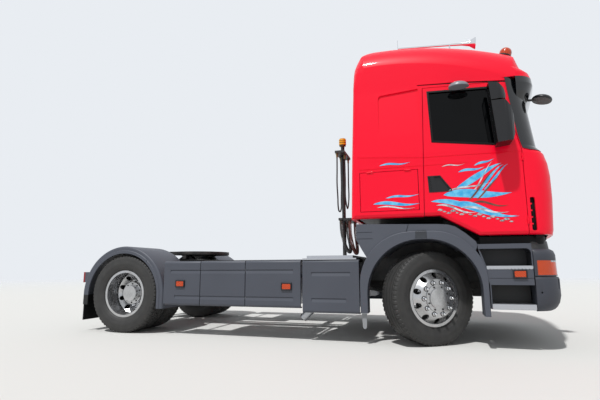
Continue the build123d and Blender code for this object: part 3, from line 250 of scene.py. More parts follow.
def anodisedAluminium():
    # extruded and anodised: fine draw lines along the extrusion, satin sheen
    material, tree, shader, place = newMaterial("anodised_aluminium_extruded", "#b9bbc0", 0.34, 0.85)
    drawn = addNode(tree, "Mapping", {"Vector": place, "Scale": (3, 900, 900)})
    lines = addNode(tree, "TexNoise", {"Vector": drawn, "Scale": 1.0, "Detail": 2.0})
    rough = addNode(tree, "MapRange", {"Value": lines, "To Min": 0.26, "To Max": 0.44})
    bump = addNode(tree, "Bump", {"Height": lines, "Distance": 0.0001, "Strength": 0.4})
    feed(tree, shader, Roughness=rough, Normal=bump)
    return material


def forgedAluminium():
    # forged wheel, machine polished: bright, with a little brake dust
    material, tree, shader, place = newMaterial("forged_aluminium_polished", "#c9cacd", 0.2, 0.9)
    dust = mottle(tree, shader, place, "#d2d3d6", "#9c9b99", {"Scale": 9.0, "Detail": 5.0})
    rough = addNode(tree, "MapRange",
                    {"Value": dust, "From Min": 0.4, "From Max": 0.75, "To Min": 0.16, "To Max": 0.36})
    feed(tree, shader, Roughness=rough)
    return material


def vulcanisedRubber(name, low, high, roughness=0.62):
    # carbon-black rubber, greyed by dust
    material, tree, shader, place = newMaterial(name, low, roughness)
    mottle(tree, shader, place, low, high, {"Scale": 14.0, "Detail": 6.0})
    fineRelief(tree, shader, place, 400.0, 2.0, 0.0003, 0.5)
    return material


def tintedGlassOrPaintedShade(name, color, through, shine):
    # laminated safety glass: what passes takes the colour, a real tint or painted shade by use, and the surface
    # mirrors a little of the sky
    return newMaterial(name, color, 0.0, Transmission_Weight=through, IOR=1.5, Specular_IOR_Level=shine)[0]


def mirrorGlassPaintedReflection():
    # mirror glass drawn near black and glossy: the dark colour is a painted reflection of a dark place
    return newMaterial("silvered_mirror_glass", "#08080a", 0.03, Coat_Weight=0.5, Specular_IOR_Level=0.3)[0]


def castFilm(name, low, high, patch=0.06):
    # printed cast vinyl film: soft airbrushed patches about 60 mm wide, satin laminate on top
    material, tree, shader, place = newMaterial(name, low, 0.35, Coat_Weight=0.3, Coat_Roughness=0.1)
    mottle(tree, shader, place, low, high, {"Scale": 1 / patch, "Detail": 5.0}, 0.38, 0.62)
    return material


def lensPlastic(name, color, rib=0.006, zones=(), valleyShade=0.45):
    # two-shot moulded polycarbonate lens: prisms on its inner face, a clear rim or an amber end by place
    material, tree, shader, place = newMaterial(name, color, 0.18, Transmission_Weight=0.1, IOR=1.58,
                                                Coat_Weight=0.3, Specular_IOR_Level=0.3)
    waves = addNode(tree, "TexWave", {"Vector": place, "Scale": waveLength / rib}, bands_direction="DIAGONAL")
    # painted shade: the colour darkens in the valleys between the prisms
    valleyShadeColor = [channel * valleyShade for channel in hexColor(color)[:3]] + [1.0]
    shade = addNode(tree, "Mix", {0: waves, 6: valleyShadeColor, 7: hexColor(color)}, data_type="RGBA")
    bump = addNode(tree, "Bump", {"Height": waves, "Distance": 0.0008, "Strength": 0.6})
    feed(tree, shader, Base_Color=shade.outputs[2], Normal=bump)
    recolorBoxes(tree, shader, place, zones)
    return material


def wovenPolyester(thread=0.003):
    # flat woven seat cloth, its threads drawn twice as wide as they are, to show
    material, tree, shader, place = newMaterial("woven_polyester_cloth", "#23252b", 0.85, Sheen_Weight=0.4)
    warp, weft = [addNode(tree, "TexWave", {"Vector": place, "Scale": waveLength / thread},
                          bands_direction=way) for way in ("X", "Y")]
    both = addNode(tree, "Math", {0: warp, 1: weft}, operation="MULTIPLY")
    color = addNode(tree, "Mix", {0: both, 6: hexColor("#1b1d22"), 7: hexColor("#343741")}, data_type="RGBA")
    bump = addNode(tree, "Bump", {"Height": both, "Distance": 0.0008, "Strength": 0.6})
    feed(tree, shader, Base_Color=color.outputs[2], Normal=bump)
    return material


# boxes where a moulding has another colour, its own or painted shade: two corners and the colour
# painted shade: the steps' pockets, behind the outer face, are coloured dark where shade falls in them, the lower
# pocket near black
stepPaintedShadeZones = [((0.500, 0.0, 0.815), (1.100, 1.236, 1.000), "#1c1d21"),
             ((0.500, 0.0, 0.400), (1.100, 1.236, 0.640), "#08080a")]
guardZones = [((-4.600, 0.0, 0.100), (-4.060, 1.300, 0.470), "#0c0c0d"),
              ((-0.610, 1.150, 0.100), (-0.535, 1.300, 0.330), "#8b8d90")]
mirrorZones = [((0.300, 1.100, 2.600), (0.660, 1.500, 2.900), "#7c8087")]
cornerZones = [((1.000, 1.0, 0.700), (1.138, 1.300, 0.900), "#b9bec4"),
               ((1.000, 1.0, 0.856), (1.400, 1.300, 0.900), "#b9bec4")]
frontZones = [((1.200, 1.08, 0.700), (1.326, 1.300, 0.857), "#d2440a")]

finishes = {
    "red_paint": bakedAcrylicPaint(),
    "grey_plastic": mouldedPolypropylene("moulded_polypropylene_grey", "#3f424b", "#4a4e58"),
    "step_grey": mouldedPolypropylene("moulded_polypropylene_steps", "#3f424b", "#4a4e58", zones=stepPaintedShadeZones),
    "guard_grey": mouldedPolypropylene("moulded_polypropylene_guards", "#42454e", "#4d515b",
                                       zones=guardZones),
    "bumper_grey": mouldedPolypropylene("moulded_polypropylene_bumper", "#2f323a", "#383b44"),
    "mirror_shells": mouldedPolypropylene("moulded_abs_mirrors", "#07070a", "#0c0c10", 0.001, 0.3,
                                          mirrorZones),
    "mirror_plastic": mouldedPolypropylene("moulded_abs_black", "#0d0e12", "#16181d", 0.001, 0.36),
    "cabin_plastic": mouldedPolypropylene("moulded_abs_cabin", "#1d1e20", "#242528", 0.001, 0.6),
    "black_paint": sprayedChassisPaint("sprayed_chassis_paint_black", "#17181a", "#3b3a38"),
    "cast_steel": sprayedChassisPaint("cast_steel_primed", "#1d1d1e", "#4b4845", 0.6),
    "spring_steel": sprayedChassisPaint("rolled_spring_steel_painted", "#141414", "#34312e", 0.5),
    "bare_aluminium": anodisedAluminium(),
    "polished_aluminium": forgedAluminium(),
    "tyre_rubber": vulcanisedRubber("vulcanised_rubber_tyre", "#1f1f20", "#3a3937"),
    "hose_rubber": vulcanisedRubber("extruded_rubber_hose", "#141415", "#262524", 0.5),
    "curly_grey": vulcanisedRubber("polyurethane_tube_grey", "#3a3b3d", "#5a5854", 0.4),
    "curly_red": vulcanisedRubber("polyurethane_tube_red", "#5d2a26", "#6e4038", 0.4),
    # painted shade: the side windows are near black and let a fifth of the light through, standing for the dark
    # cab behind them
    "window_glass": tintedGlassOrPaintedShade("laminated_glass_tinted", "#030405", 0.2, 0.08),
    "screen_glass": tintedGlassOrPaintedShade("laminated_glass_blue_band", "#7fc4dc", 0.93, 0.5),
    # painted reflection: the mirror glass is near black, as if it faced a dark place
    "silvered_glass": mirrorGlassPaintedReflection(),
    "film_sky": castFilm("cast_film_sky", "#2a9fd8", "#6cc6ea"),
    "film_pale": castFilm("cast_film_pale", "#d9dde2", "#8f99a6"),
    "film_earth": castFilm("cast_film_earth", "#5a332a", "#7c4a38"),
    "film_stone": castFilm("cast_film_stone", "#b9bdc2", "#5d6168", 0.02),
    "amber_lens": lensPlastic("polycarbonate_lens_amber", "#e04c08"),
    "corner_lens": lensPlastic("polycarbonate_lens_corner", "#e04c08", 0.009, cornerZones),
    "front_lens": lensPlastic("polycarbonate_lens_front", "#c9ced4", 0.012, frontZones),
    "red_lens": lensPlastic("polycarbonate_lens_red", "#a01014"),
    "clear_lens": lensPlastic("polycarbonate_lens_clear", "#c9ced4"),
    "seat_cloth": wovenPolyester(),
    # plain ones: matt rubber, satin nylon and polyamide, glossy acrylic, dull brass, mirror-bright chrome
    "seal_rubber": newMaterial("epdm_rubber_extruded", "#060607", 0.6, Specular_IOR_Level=0.2)[0],
    "knob_yellow": newMaterial("moulded_nylon_yellow", "#e8a318", 0.4)[0],
    "clip_grey": newMaterial("moulded_polyamide_clip", "#2f3238", 0.45)[0],
    "smoked_plastic": newMaterial("cast_acrylic_smoked", "#07090c", 0.12, Coat_Weight=0.5)[0],
    "brass": newMaterial("turned_brass_fittings", "#8a7a55", 0.35, 0.9)[0],
    "chrome_plate": newMaterial("chromium_plated_brass", "#dfe0e2", 0.05, 1.0)[0],
}
print("materials made")


# nodes whose finish isn't their slot's
ownFinish = {"windscreen": "screen_glass", "step_housings": "step_grey", "rear_mudguards": "guard_grey",
             "front_fenders": "guard_grey", "bumper": "bumper_grey", "door_mirrors_right": "mirror_shells",
             "door_mirrors_left": "mirror_shells", "headlamps": "front_lens"}


def dressCadNodes():
    slots = {part["node"]: part["material_slot"] for part in frame["record"]["subparts"]}
    for name, node in frame["nodes"].items():
        for entry in node.material_slots:
            entry.material = finishes[ownFinish.get(name, slots[name])]


# modelling helpers

def clearSelection():
    # leaves edit mode too, so no caller has to
    if bpy.context.object and bpy.context.object.mode == "EDIT":
        bpy.ops.object.mode_set(mode="OBJECT")
    bpy.ops.object.select_all(action="DESELECT")


def activate(pieces):
    clearSelection()
    for piece in pieces:
        piece.select_set(True)
    bpy.context.view_layer.objects.active = pieces[0]


def startLine(name, points):
    # a plane merged to one point, and that point extruded along the line, still in edit mode
    clearSelection()
    bpy.ops.mesh.primitive_plane_add(size=0.01, location=points[0])
    piece = bpy.context.object
    piece.name = name
    bpy.ops.object.transform_apply(location=True)
    bpy.ops.object.mode_set(mode="EDIT")
    bpy.ops.mesh.select_mode(type="VERT")
    bpy.ops.mesh.merge(type="CENTER")
    for last, point in zip(points, points[1:]):
        step = [b - a for a, b in zip(last, point)]
        bpy.ops.mesh.extrude_region_move(TRANSFORM_OT_translate={"value": step})
    return piece


mergeWithin = 0.00001


def closeFaces():
    bpy.ops.mesh.select_all(action="SELECT")
    bpy.ops.mesh.remove_doubles(threshold=mergeWithin)
    bpy.ops.mesh.normals_make_consistent(inside=False)


def turned(name, profile, steps, closed=False):
    # profile of (radius, along Y), spun about the Y axis
    points = [(radius, along, 0) for radius, along in profile]
    piece = startLine(name, points + points[:1] if closed else points)
    bpy.ops.mesh.select_all(action="SELECT")
    bpy.ops.mesh.spin(steps=steps, angle=2 * math.pi, center=(0, 0, 0), axis=(0, 1, 0))
    closeFaces()
    return piece


def drawnPlate(name, outline, depth, y):
    # outline of (x, z), drawn out along -Y
    piece = startLine(name, [(x, y, z) for x, z in outline])
    bpy.ops.mesh.select_all(action="SELECT")
    bpy.ops.mesh.edge_face_add()
    bpy.ops.mesh.extrude_region_move(TRANSFORM_OT_translate={"value": (0, -depth, 0)})
    closeFaces()
    return piece


def joined(name, pieces):
    activate(pieces)
    if len(pieces) > 1:
        bpy.ops.object.join()
    pieces[0].name = name
    return pieces[0]


def bridged(name, lines):
    # two drawn lines joined by faces
    piece = joined(name, lines)
    bpy.ops.object.mode_set(mode="EDIT")
    bpy.ops.mesh.select_all(action="SELECT")
    bpy.ops.mesh.bridge_edge_loops()
    return piece


def grownOutline(points, by):
    # every corner moved out along both of its sides
    grown = []
    count = len(points)
    for i in range(count):
        before, here, after = (Vector(points[j % count]) for j in (i - 1, i, i + 1))
        first = (here - before).normalized()
        second = (after - here).normalized()
        out = Vector((-first.y, first.x)) + Vector((-second.y, second.x))
        grown.append(here + out * (by / (1 + first.dot(second))))
    return grown


def ringPlate(name, outline, sizes):
    # the outline grown and shrunk, bridged, then drawn out to the thickness
    rings = []
    for by in (sizes["outside"], -sizes["inside"]):
        ring = grownOutline(outline, by)
        rings.append(startLine(name, [(x, -sizes["side"], z) for x, z in ring + ring[:1]]))
        bpy.ops.mesh.select_all(action="SELECT")
        bpy.ops.mesh.remove_doubles(threshold=mergeWithin)
    piece = bridged(name, rings)
    bpy.ops.mesh.select_all(action="SELECT")
    bpy.ops.mesh.extrude_region_move(TRANSFORM_OT_translate={"value": (0, -sizes["thickness"], 0)})
    closeFaces()
    return piece


def pickFaces(piece, test):
    bpy.ops.mesh.select_mode(type="FACE")
    bpy.ops.mesh.select_all(action="DESELECT")
    bpy.ops.object.mode_set(mode="OBJECT")
    for face in piece.data.polygons:
        face.select = bool(test(face.center, face.normal))
    bpy.ops.object.mode_set(mode="EDIT")


def pressFaces(piece, test, rim, depth):
    pickFaces(piece, test)
    bpy.ops.mesh.inset(thickness=rim, depth=-depth)


def addBevel(piece, width, angle, segments=2):
    bevel = piece.modifiers.new("bevel", "BEVEL")
    bevel.width = width
    bevel.segments = segments
    bevel.limit_method = "ANGLE"
    bevel.angle_limit = math.radians(angle)


def roundEdges(piece, width, segments=2):
    activate([piece])
    addBevel(piece, width, angle=35, segments=segments)
    bpy.ops.object.modifier_apply(modifier="bevel")


def copiesOf(piece, places):
    # each copy has its own mesh, and all are joined in one piece
    clearSelection()
    name = piece.name
    made = []
    for place in places:
        clone = piece.copy()
        clone.data = piece.data.copy()
        clone.data.transform(place)
        if place.determinant() < 0:
            clone.data.flip_normals()
        bpy.context.collection.objects.link(clone)
        made.append(clone)
    bpy.data.objects.remove(piece)
    return joined(name, made)


def finishPiece(piece, body, finish, smooth=35, replaced=()):
    activate([piece])
    bpy.ops.object.shade_smooth_by_angle(angle=math.radians(smooth))
    piece.data.materials.clear()
    piece.data.materials.append(finishes[finish])
    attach(piece, body)
    if replaced:
        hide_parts(*replaced)


# wheels

wheelSizes = {"steer": 35.3, "radius": 0.490, "rearAxleX": -3.7, "outerY": 1.088, "gauge": 0.350,
              "nutCircle": 0.1675, "nuts": 10, "diskFace": {"front": -0.175, "rear": 0.157},
              # small bolts on the rear hub's flange and on the front hub's oil cap: out, radius, count
              "hubBolts": {"rear": (0.030, 0.121, 10), "front": (-0.187, 0.122, 8)}, "boltScale": 0.8}
wheelBody = {"front": "front_wheel_", "rear": "rear_wheels_"}


def wheelPlace(axle, side):
    # the wheel's own frame, its outer side towards -Y, at rest
    sign, half = (-1, 0) if side == "right" else (1, 180)
    if axle == "front":
        centre = Matrix.Translation(joints["front_wheel_" + side + "_spin"]["pos_m"])
        return centre @ rotated(half + wheelSizes["steer"], "Z")
    return movedTo(wheelSizes["rearAxleX"], sign * wheelSizes["outerY"], axleHeight) @ rotated(half, "Z")


def roundWheel(count, radius, out, offset=0.0):
    spot = Matrix.Translation((radius, out, 0))
    return [rotated(360 * (i + offset) / count, "Y") @ spot for i in range(count)]


# half of the tyre's section, from the bead over the sidewall's ribs to the middle of the tread
tyreSection = [(0.286, 0.107), (0.2995, 0.109), (0.303, 0.121), (0.312, 0.131), (0.318, 0.136),
               (0.326, 0.1385), (0.335, 0.141), (0.338, 0.1435), (0.345, 0.144), (0.375, 0.156),
               (0.390, 0.1572), (0.410, 0.1555), (0.435, 0.150), (0.445, 0.1497), (0.4455, 0.1478),
               (0.468, 0.1425), (0.478, 0.1385), (0.4865, 0.131), (0.490, 0.122)]
treadSettings = {"steps": 128, "groovesAt": (0.082, 0.032), "grooveHalf": 0.0055, "grooveFloorHalf": 0.0035,
                 "grooveDepth": 0.013, "notch": (0.007, 0.006), "block": (0.006, 0.010),  # rim and depth
                 "crownDepth": 0.024, "shoulderFrom": 0.09, "topDepth": 0.002, "ribs": (0.03, 0.08)}


def treadProfile():
    s = treadSettings
    radius = wheelSizes["radius"]
    half = list(tyreSection)
    for y in s["groovesAt"]:
        half += [(radius, y + s["grooveHalf"]), (radius - s["grooveDepth"], y + s["grooveFloorHalf"]),
                 (radius - s["grooveDepth"], y - s["grooveFloorHalf"]), (radius, y - s["grooveHalf"])]
    return half + [(r, -y) for r, y in reversed(half)]


def stepOf(centre):
    # which of the spin's steps a face belongs to
    return math.floor(math.atan2(centre.z, centre.x) / (2 * math.pi) * treadSettings["steps"])


def rollingTyre(name, blocks):
    s = treadSettings
    piece = turned(name, treadProfile(), s["steps"], closed=True)
    crown, top = (wheelSizes["radius"] - s[depth] for depth in ("crownDepth", "topDepth"))
    inner, outer = s["ribs"]
    pressFaces(piece, lambda c, n: stepOf(c) % 2 == 0 and math.hypot(c.x, c.z) > crown
               and abs(c.y) > s["shoulderFrom"], *s["notch"])
    if blocks:
        pressFaces(piece, lambda c, n: stepOf(c) % 4 == 1 and math.hypot(c.x, c.z) > top
                   and abs(c.y) < inner, *s["block"])
        pressFaces(piece, lambda c, n: stepOf(c) % 4 == 3 and math.hypot(c.x, c.z) > top
                   and inner < abs(c.y) < outer, *s["block"])
    return piece


def makeTyres():
    twin = Matrix.Translation((0, wheelSizes["gauge"], 0))
    for side in sides:
        front = copiesOf(rollingTyre("steer_tyre_" + side, False), [wheelPlace("front", side)])
        finishPiece(front, "front_wheel_" + side, "tyre_rubber", smooth=30,
                    replaced=["front_tyre_" + side])
        place = wheelPlace("rear", side)
        rear = copiesOf(rollingTyre("drive_tyres_" + side, True), [place, place @ twin])
        finishPiece(rear, "rear_wheels_" + side, "tyre_rubber", smooth=30,
                    replaced=["rear_tyres_" + side])


# half sections of a nut's cap, of the dark seat round it and of a small bolt: radius and height
nutCap = [(0, 0.044), (0.008, 0.043), (0.0135, 0.038), (0.0155, 0.030), (0.016, 0.012), (0.0205, 0.008),
          (0.021, 0.0)]
nutSeat = [(0.0, 0.0045), (0.0255, 0.0045), (0.027, 0.003), (0.0275, 0.0)]
flangeBolt = [(0, 0.012), (0.009, 0.012), (0.0105, 0.010), (0.0105, 0.003), (0.014, 0.003), (0.014, 0.0)]


def makeWheelNuts():
    s = wheelSizes
    scale = s["boltScale"]
    for axle, body in wheelBody.items():
        circle = roundWheel(s["nuts"], s["nutCircle"], s["diskFace"][axle])
        out, radius, count = s["hubBolts"][axle]
        boltCircle = roundWheel(count, radius, out, 0.5)
        for side in sides:
            place = wheelPlace(axle, side)
            for name, section, slot in (("nut_caps", nutCap, "chrome_plate"),
                                        ("nut_seats", nutSeat, "cast_steel")):
                nut = turned(f"{axle}_{name}_{side}", [(r, -high) for r, high in section], steps=16)
                nuts = copiesOf(nut, [place @ spot for spot in circle])
                finishPiece(nuts, body + side, slot, smooth=40)
            small = [(r * scale, -high * scale) for r, high in flangeBolt]
            bolt = turned(f"{axle}_hub_bolts_{side}", small, steps=6)
            bolts = copiesOf(bolt, [place @ spot for spot in boltCircle])
            finishPiece(bolts, body + side, "cast_steel", smooth=30)


# hoses

# route points, as in the part
hoses = {
    "brake_hose": {"node": "hose_a",
                   "route": [(-0.945, -0.740, 2.262), (-0.945, -0.740, 2.080), (-0.950, -0.752, 1.870),
                             (-0.941, -0.748, 1.690), (-0.946, -0.728, 1.590), (-0.950, -0.672, 1.524),
                             (-0.945, -0.596, 1.520), (-0.941, -0.534, 1.580), (-0.947, -0.512, 1.700),
                             (-0.941, -0.506, 1.880), (-0.945, -0.500, 2.080), (-0.945, -0.500, 2.262)]},
    "supply_hose": {"node": "hose_b",
                    "route": [(-0.865, -0.640, 2.262), (-0.865, -0.640, 2.100), (-0.860, -0.652, 1.900),
                              (-0.867, -0.648, 1.740), (-0.864, -0.628, 1.640), (-0.860, -0.572, 1.574),
                              (-0.866, -0.496, 1.570), (-0.868, -0.434, 1.630), (-0.862, -0.410, 1.750),
                              (-0.868, -0.402, 1.920), (-0.865, -0.400, 2.100), (-0.865, -0.400, 2.262)]},
}
curlyLines = {
    "curly_line_grey": {"node": "coiled_hose", "finish": "curly_grey",
                        "route": [(-0.905, -0.750, 1.392), (-0.905, -0.750, 1.280), (-0.884, -0.744, 1.160),
                                  (-0.862, -0.700, 1.062), (-0.846, -0.620, 1.012), (-0.842, -0.510, 1.008),
                                  (-0.852, -0.424, 1.050), (-0.872, -0.370, 1.140), (-0.905, -0.352, 1.268),
                                  (-0.905, -0.352, 1.392)]},
    "curly_line_red": {"node": "coiled_hose_b", "finish": "curly_red",
                       "route": [(-0.800, -0.730, 1.392), (-0.800, -0.730, 1.275), (-0.788, -0.726, 1.150),
                                 (-0.770, -0.690, 1.050), (-0.758, -0.615, 0.992), (-0.756, -0.505, 0.990),
                                 (-0.764, -0.424, 1.040), (-0.780, -0.372, 1.140), (-0.800, -0.355, 1.268),
                                 (-0.800, -0.355, 1.392)]},
}
hoseDiameter = 0.018
curlySettings = {"wire": 0.0095, "acrossOutside": 0.045, "pitch": 0.0125, "pointsPerTurn": 12, "steps": 2}


def routeCurve(name, points, thickness, steps=12, rounding=4):
    curve = bpy.data.curves.new(name, "CURVE")
    curve.dimensions = "3D"
    curve.resolution_u = steps
    curve.bevel_depth = thickness / 2
    curve.bevel_resolution = rounding
    curve.use_fill_caps = True
    spline = curve.splines.new("NURBS")
    spline.points.add(len(points) - 1)
    for spot, point in zip(spline.points, points):
        spot.co = (*point, 1.0)
    spline.order_u = 3
    spline.use_endpoint_u = True
    piece = bpy.data.objects.new(name, curve)
    bpy.context.collection.objects.link(piece)
    return piece


def pointsAlong(points):
    # the smooth line that the route's spline gives
    guide = routeCurve("guide", points, 0.0)
    line = bpy.data.meshes.new_from_object(guide)
    found = [vertex.co.copy() for vertex in line.vertices]
    bpy.data.objects.remove(guide)
    bpy.data.meshes.remove(line)
    return found


def helixAlong(line):
    # turns wound round the line, with a frame carried along it so that they don't twist
    s = curlySettings
    reach = (s["acrossOutside"] - s["wire"]) / 2
    step = s["pitch"] / s["pointsPerTurn"]
    points, turn, left = [], 0.0, 0.0
    side = Vector((0, 1, 0))
    for a, b in zip(line, line[1:]):
        along = b - a
        length = along.length
        if length < 1e-7:
            continue
        heading = along / length
        side = (side - heading * side.dot(heading)).normalized()
        other = heading.cross(side)
        while left < length:
            spot = a + heading * left
            points.append(spot + side * (reach * math.cos(turn)) + other * (reach * math.sin(turn)))
            turn += 2 * math.pi / s["pointsPerTurn"]
            left += step
        left -= length
    return points


def lengthOf(points):
    return sum((b - a).length for a, b in zip(points, points[1:]))


def layCord(piece, points, node, finish):
    piece.data.materials.append(finishes[finish])
    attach(piece, "chassis")
    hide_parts(node)
    lengthOf(pointsAlong(points))


def makeHoses():
    for name, hose in hoses.items():
        route = [fromAxle(*point) for point in hose["route"]]
        piece = routeCurve(name, route, hoseDiameter)
        layCord(piece, route, hose["node"], "hose_rubber")
    s = curlySettings
    for name, hose in curlyLines.items():
        turns = helixAlong(pointsAlong([fromAxle(*point) for point in hose["route"]]))
        piece = routeCurve(name, turns, s["wire"], s["steps"], s["steps"])
        layCord(piece, turns, hose["node"], hose["finish"])


# seats and bunk

seatForms = {"acrossAt": 0.64, "voxel": 0.006, "frames": 20, "pressure": 4.0, "swell": 0.012, "round": 0.32,
             "mostFaces": 30000}
cushionForms = {
    # centre's X and Z, size and lean of each pad
    "base": {"centre": (0.565, 1.708), "size": (0.45, 0.49, 0.115), "lean": 2},
    "back": {"centre": (0.325, 2.055), "size": (0.125, 0.48, 0.62), "lean": -6.5},
    "head": {"centre": (0.262, 2.505), "size": (0.088, 0.30, 0.19), "lean": -6.5},
}
bunkForm = {"centre": (-0.270, 0, 1.950), "size": (0.63, 2.28, 0.128), "voxel": 0.016}


def padForm(name, centre, size, lean, voxel):
    # a rounded block a little too small, swollen by air pressure as cloth up to its size
    s = seatForms
    clearSelection()
    bpy.ops.mesh.primitive_cube_add(size=1, location=centre)
    pad = bpy.context.object
    pad.name = name
    pad.scale = [extent - s["swell"] for extent in size]
    pad.rotation_euler = (0, math.radians(lean), 0)
    bpy.ops.object.transform_apply(location=True, rotation=True, scale=True)
    bevel = pad.modifiers.new("round", "BEVEL")
    bevel.width = min(size) * s["round"]
    bevel.segments = 4
    bpy.ops.object.modifier_apply(modifier="round")
    remesh = pad.modifiers.new("cells", "REMESH")
    remesh.mode = "VOXEL"
    remesh.voxel_size = voxel
    bpy.ops.object.modifier_apply(modifier="cells")
    start = [vertex.co.copy() for vertex in pad.data.vertices]
    cloth = pad.modifiers.new("cover", "CLOTH")
    cloth.settings.use_pressure = True
    cloth.settings.uniform_pressure_force = s["pressure"]
    cloth.settings.effector_weights.gravity = 0
    cloth.point_cache.frame_end = s["frames"]
    for frameNumber in range(1, s["frames"] + 1):
        bpy.context.scene.frame_set(frameNumber)
    bpy.ops.object.modifier_apply(modifier="cover")
    bpy.context.scene.frame_set(1)
    for vertex, old in zip(pad.data.vertices, start):
        move = vertex.co - old
        if move.length > s["swell"]:
            vertex.co = old + move * (s["swell"] / move.length)
    if len(pad.data.polygons) < s["mostFaces"]:
        smooth = pad.modifiers.new("smooth", "SUBSURF")
        smooth.levels = smooth.render_levels = 1
        bpy.ops.object.modifier_apply(modifier="smooth")
    return pad


def upholster(pad, replaced):
    finishPiece(pad, "cab", "seat_cloth", smooth=60, replaced=replaced)


def makeSeats():
    s = seatForms
    otherSeat = Matrix.Translation((0, 2 * s["acrossAt"], 0))
    for name, form in cushionForms.items():
        x, z = form["centre"]
        pad = padForm("seat_" + name, fromAxle(x, -s["acrossAt"], z), form["size"], form["lean"], s["voxel"])
        upholster(copiesOf(pad, [Matrix(), otherSeat]), ["seats"] if name == "base" else ())
    upholster(padForm("bunk_mattress", fromAxle(*bunkForm["centre"]), bunkForm["size"], 0, bunkForm["voxel"]),
              ["bunk"])


# cab

# streaks cut from coloured film: X and Z of the start, length, rise, greatest half width
streakDesign = {
    # films lie on each other by their thickness, and a layer's streaks by a hair
    "side": 1.2458, "thickness": 0.0006, "hair": 0.00004, "points": 18, "wave": 0.012, "widestBy": 0.7,
    "sky": [(0.17, 1.500, 0.84, -0.185, 0.030), (0.30, 1.565, 0.66, -0.010, 0.046),
            (0.44, 1.640, 0.44, 0.225, 0.038), (0.56, 1.520, 0.34, 0.330, 0.026),
            (0.40, 1.470, 0.58, -0.150, 0.026), (0.70, 1.600, 0.24, 0.250, 0.020),
            (0.46, 1.800, 0.26, 0.040, 0.014), (0.62, 1.860, 0.20, 0.060, 0.012)],
    "pale": [(0.22, 1.455, 0.40, -0.085, 0.011), (0.46, 1.420, 0.46, -0.060, 0.013),
             (0.60, 1.600, 0.20, 0.290, 0.012), (0.35, 1.610, 0.42, 0.060, 0.009),
             (0.30, 1.870, 0.24, 0.020, 0.006)],
    "earth": [(0.54, 1.500, 0.28, 0.300, 0.015), (0.62, 1.500, 0.24, 0.230, 0.012),
              (0.58, 1.470, 0.34, -0.040, 0.011)],
    "sideSky": [(-0.36, 1.930, 0.34, 0.020, 0.011), (-0.44, 1.500, 0.50, -0.010, 0.020),
                (-0.30, 1.560, 0.36, 0.030, 0.012)],
    "sidePale": [(-0.40, 1.460, 0.42, -0.012, 0.008)],
    # body, film and layer of each group
    "groups": {"sky": ("door_", "sky", 0), "pale": ("door_", "pale", 1), "earth": ("door_", "earth", 2),
               "sideSky": ("cab", "sky", 0), "sidePale": ("cab", "pale", 1)},
    # shards in a row under the streaks, each longer than high
    "shards": {"from": 0.26, "to": 0.93, "count": 17, "z": 1.398, "fall": 0.130, "bend": 1.3, "half": 0.024,
               "grow": (1.25, 0.8, 1.0), "lift": (0.010, -0.006, -0.016),
               "outline": [(-1, -0.2), (-0.3, 0.42), (0.5, 0.3), (1.1, -0.15), (0.2, -0.45)]},
}


def streakOutline(x, z, length, rise, half):
    # pointed at both ends and widest a third of the way, on an S-shaped line
    s = streakDesign
    upper, lower = [], []
    for i in range(s["points"] + 1):
        t = i / s["points"]
        middle = z + rise * (t * t * (3 - 2 * t)) + s["wave"] * math.sin(2 * math.pi * t)
        width = half * math.sin(math.pi * t ** s["widestBy"])
        upper.append((frontAxleX + x + length * t, middle + width))
        lower.append((frontAxleX + x + length * t, middle - width))
    return upper + lower[-2:0:-1]


def filmPiece(name, outlines, body, finish, layer):
    # film on the right side and mirrored on the left, which is a piece of its own on a door
    s = streakDesign

    def sideFilm(pieceName):
        side = s["side"] + s["thickness"] * layer
        return joined(pieceName, [drawnPlate(pieceName, outline, s["thickness"], -side - s["hair"] * i)
                                  for i, outline in enumerate(outlines)])

    if body == "cab":
        finishPiece(copiesOf(sideFilm(name), bothSides), "cab", finish)
        return
    for side, turn in zip(sides, bothSides):
        finishPiece(copiesOf(sideFilm(name + "_" + side), [turn]), body + side, finish)


def shardOutlines():
    s = streakDesign["shards"]
    outlines = []
    for i in range(s["count"]):
        along = i / (s["count"] - 1)
        x = frontAxleX + s["from"] + (s["to"] - s["from"]) * along
        z = s["z"] - s["fall"] * along ** s["bend"] + s["lift"][i % 3]
        half = s["half"] * s["grow"][i % 3]
        outlines.append([(x + half * ahead, z + half * up) for ahead, up in s["outline"]])
    return outlines


def makeStreaks():
    for name, (body, film, layer) in streakDesign["groups"].items():
        outlines = [streakOutline(*row) for row in streakDesign[name]]
        filmPiece("streaks_" + name, outlines, body, "film_" + film, layer)
    filmPiece("streaks_shards", shardOutlines(), "door_", "film_stone", 0)


# black rubber round the door's window, leaning in with the door above its waist
windowSeal = {"outline": [(0.222, 2.160), (0.200, 2.738), (0.806, 2.712), (0.872, 2.068)], "outside": 0.012,
              "inside": 0.010, "thickness": 0.005, "side": 1.2450, "leanFrom": 1.992, "lean": 0.04645,
              "edge": 0.0015}


def makeWindowSeals():
    s = windowSeal
    leaning = Matrix.Identity(4)
    leaning[1][2:] = s["lean"], -s["lean"] * s["leanFrom"]
    for side, turn in zip(sides, bothSides):
        seal = ringPlate("window_seal_" + side, outlineFromAxle(s["outline"]), s)
        roundEdges(seal, s["edge"])
        finishPiece(copiesOf(seal, [turn @ leaning]), "door_" + side, "seal_rubber")


# mirror glass, its dark colour a painted reflection, in the two door mirrors: X and Z of the upper and the lower
# end of each pane
mirrorPanes = {"panes": [((0.802, 2.428), (0.831, 2.048)), ((0.789, 2.628), (0.799, 2.490))],
               "from": 1.487, "to": 1.313, "thickness": 0.004, "round": 0.018, "ahead": 0.002}


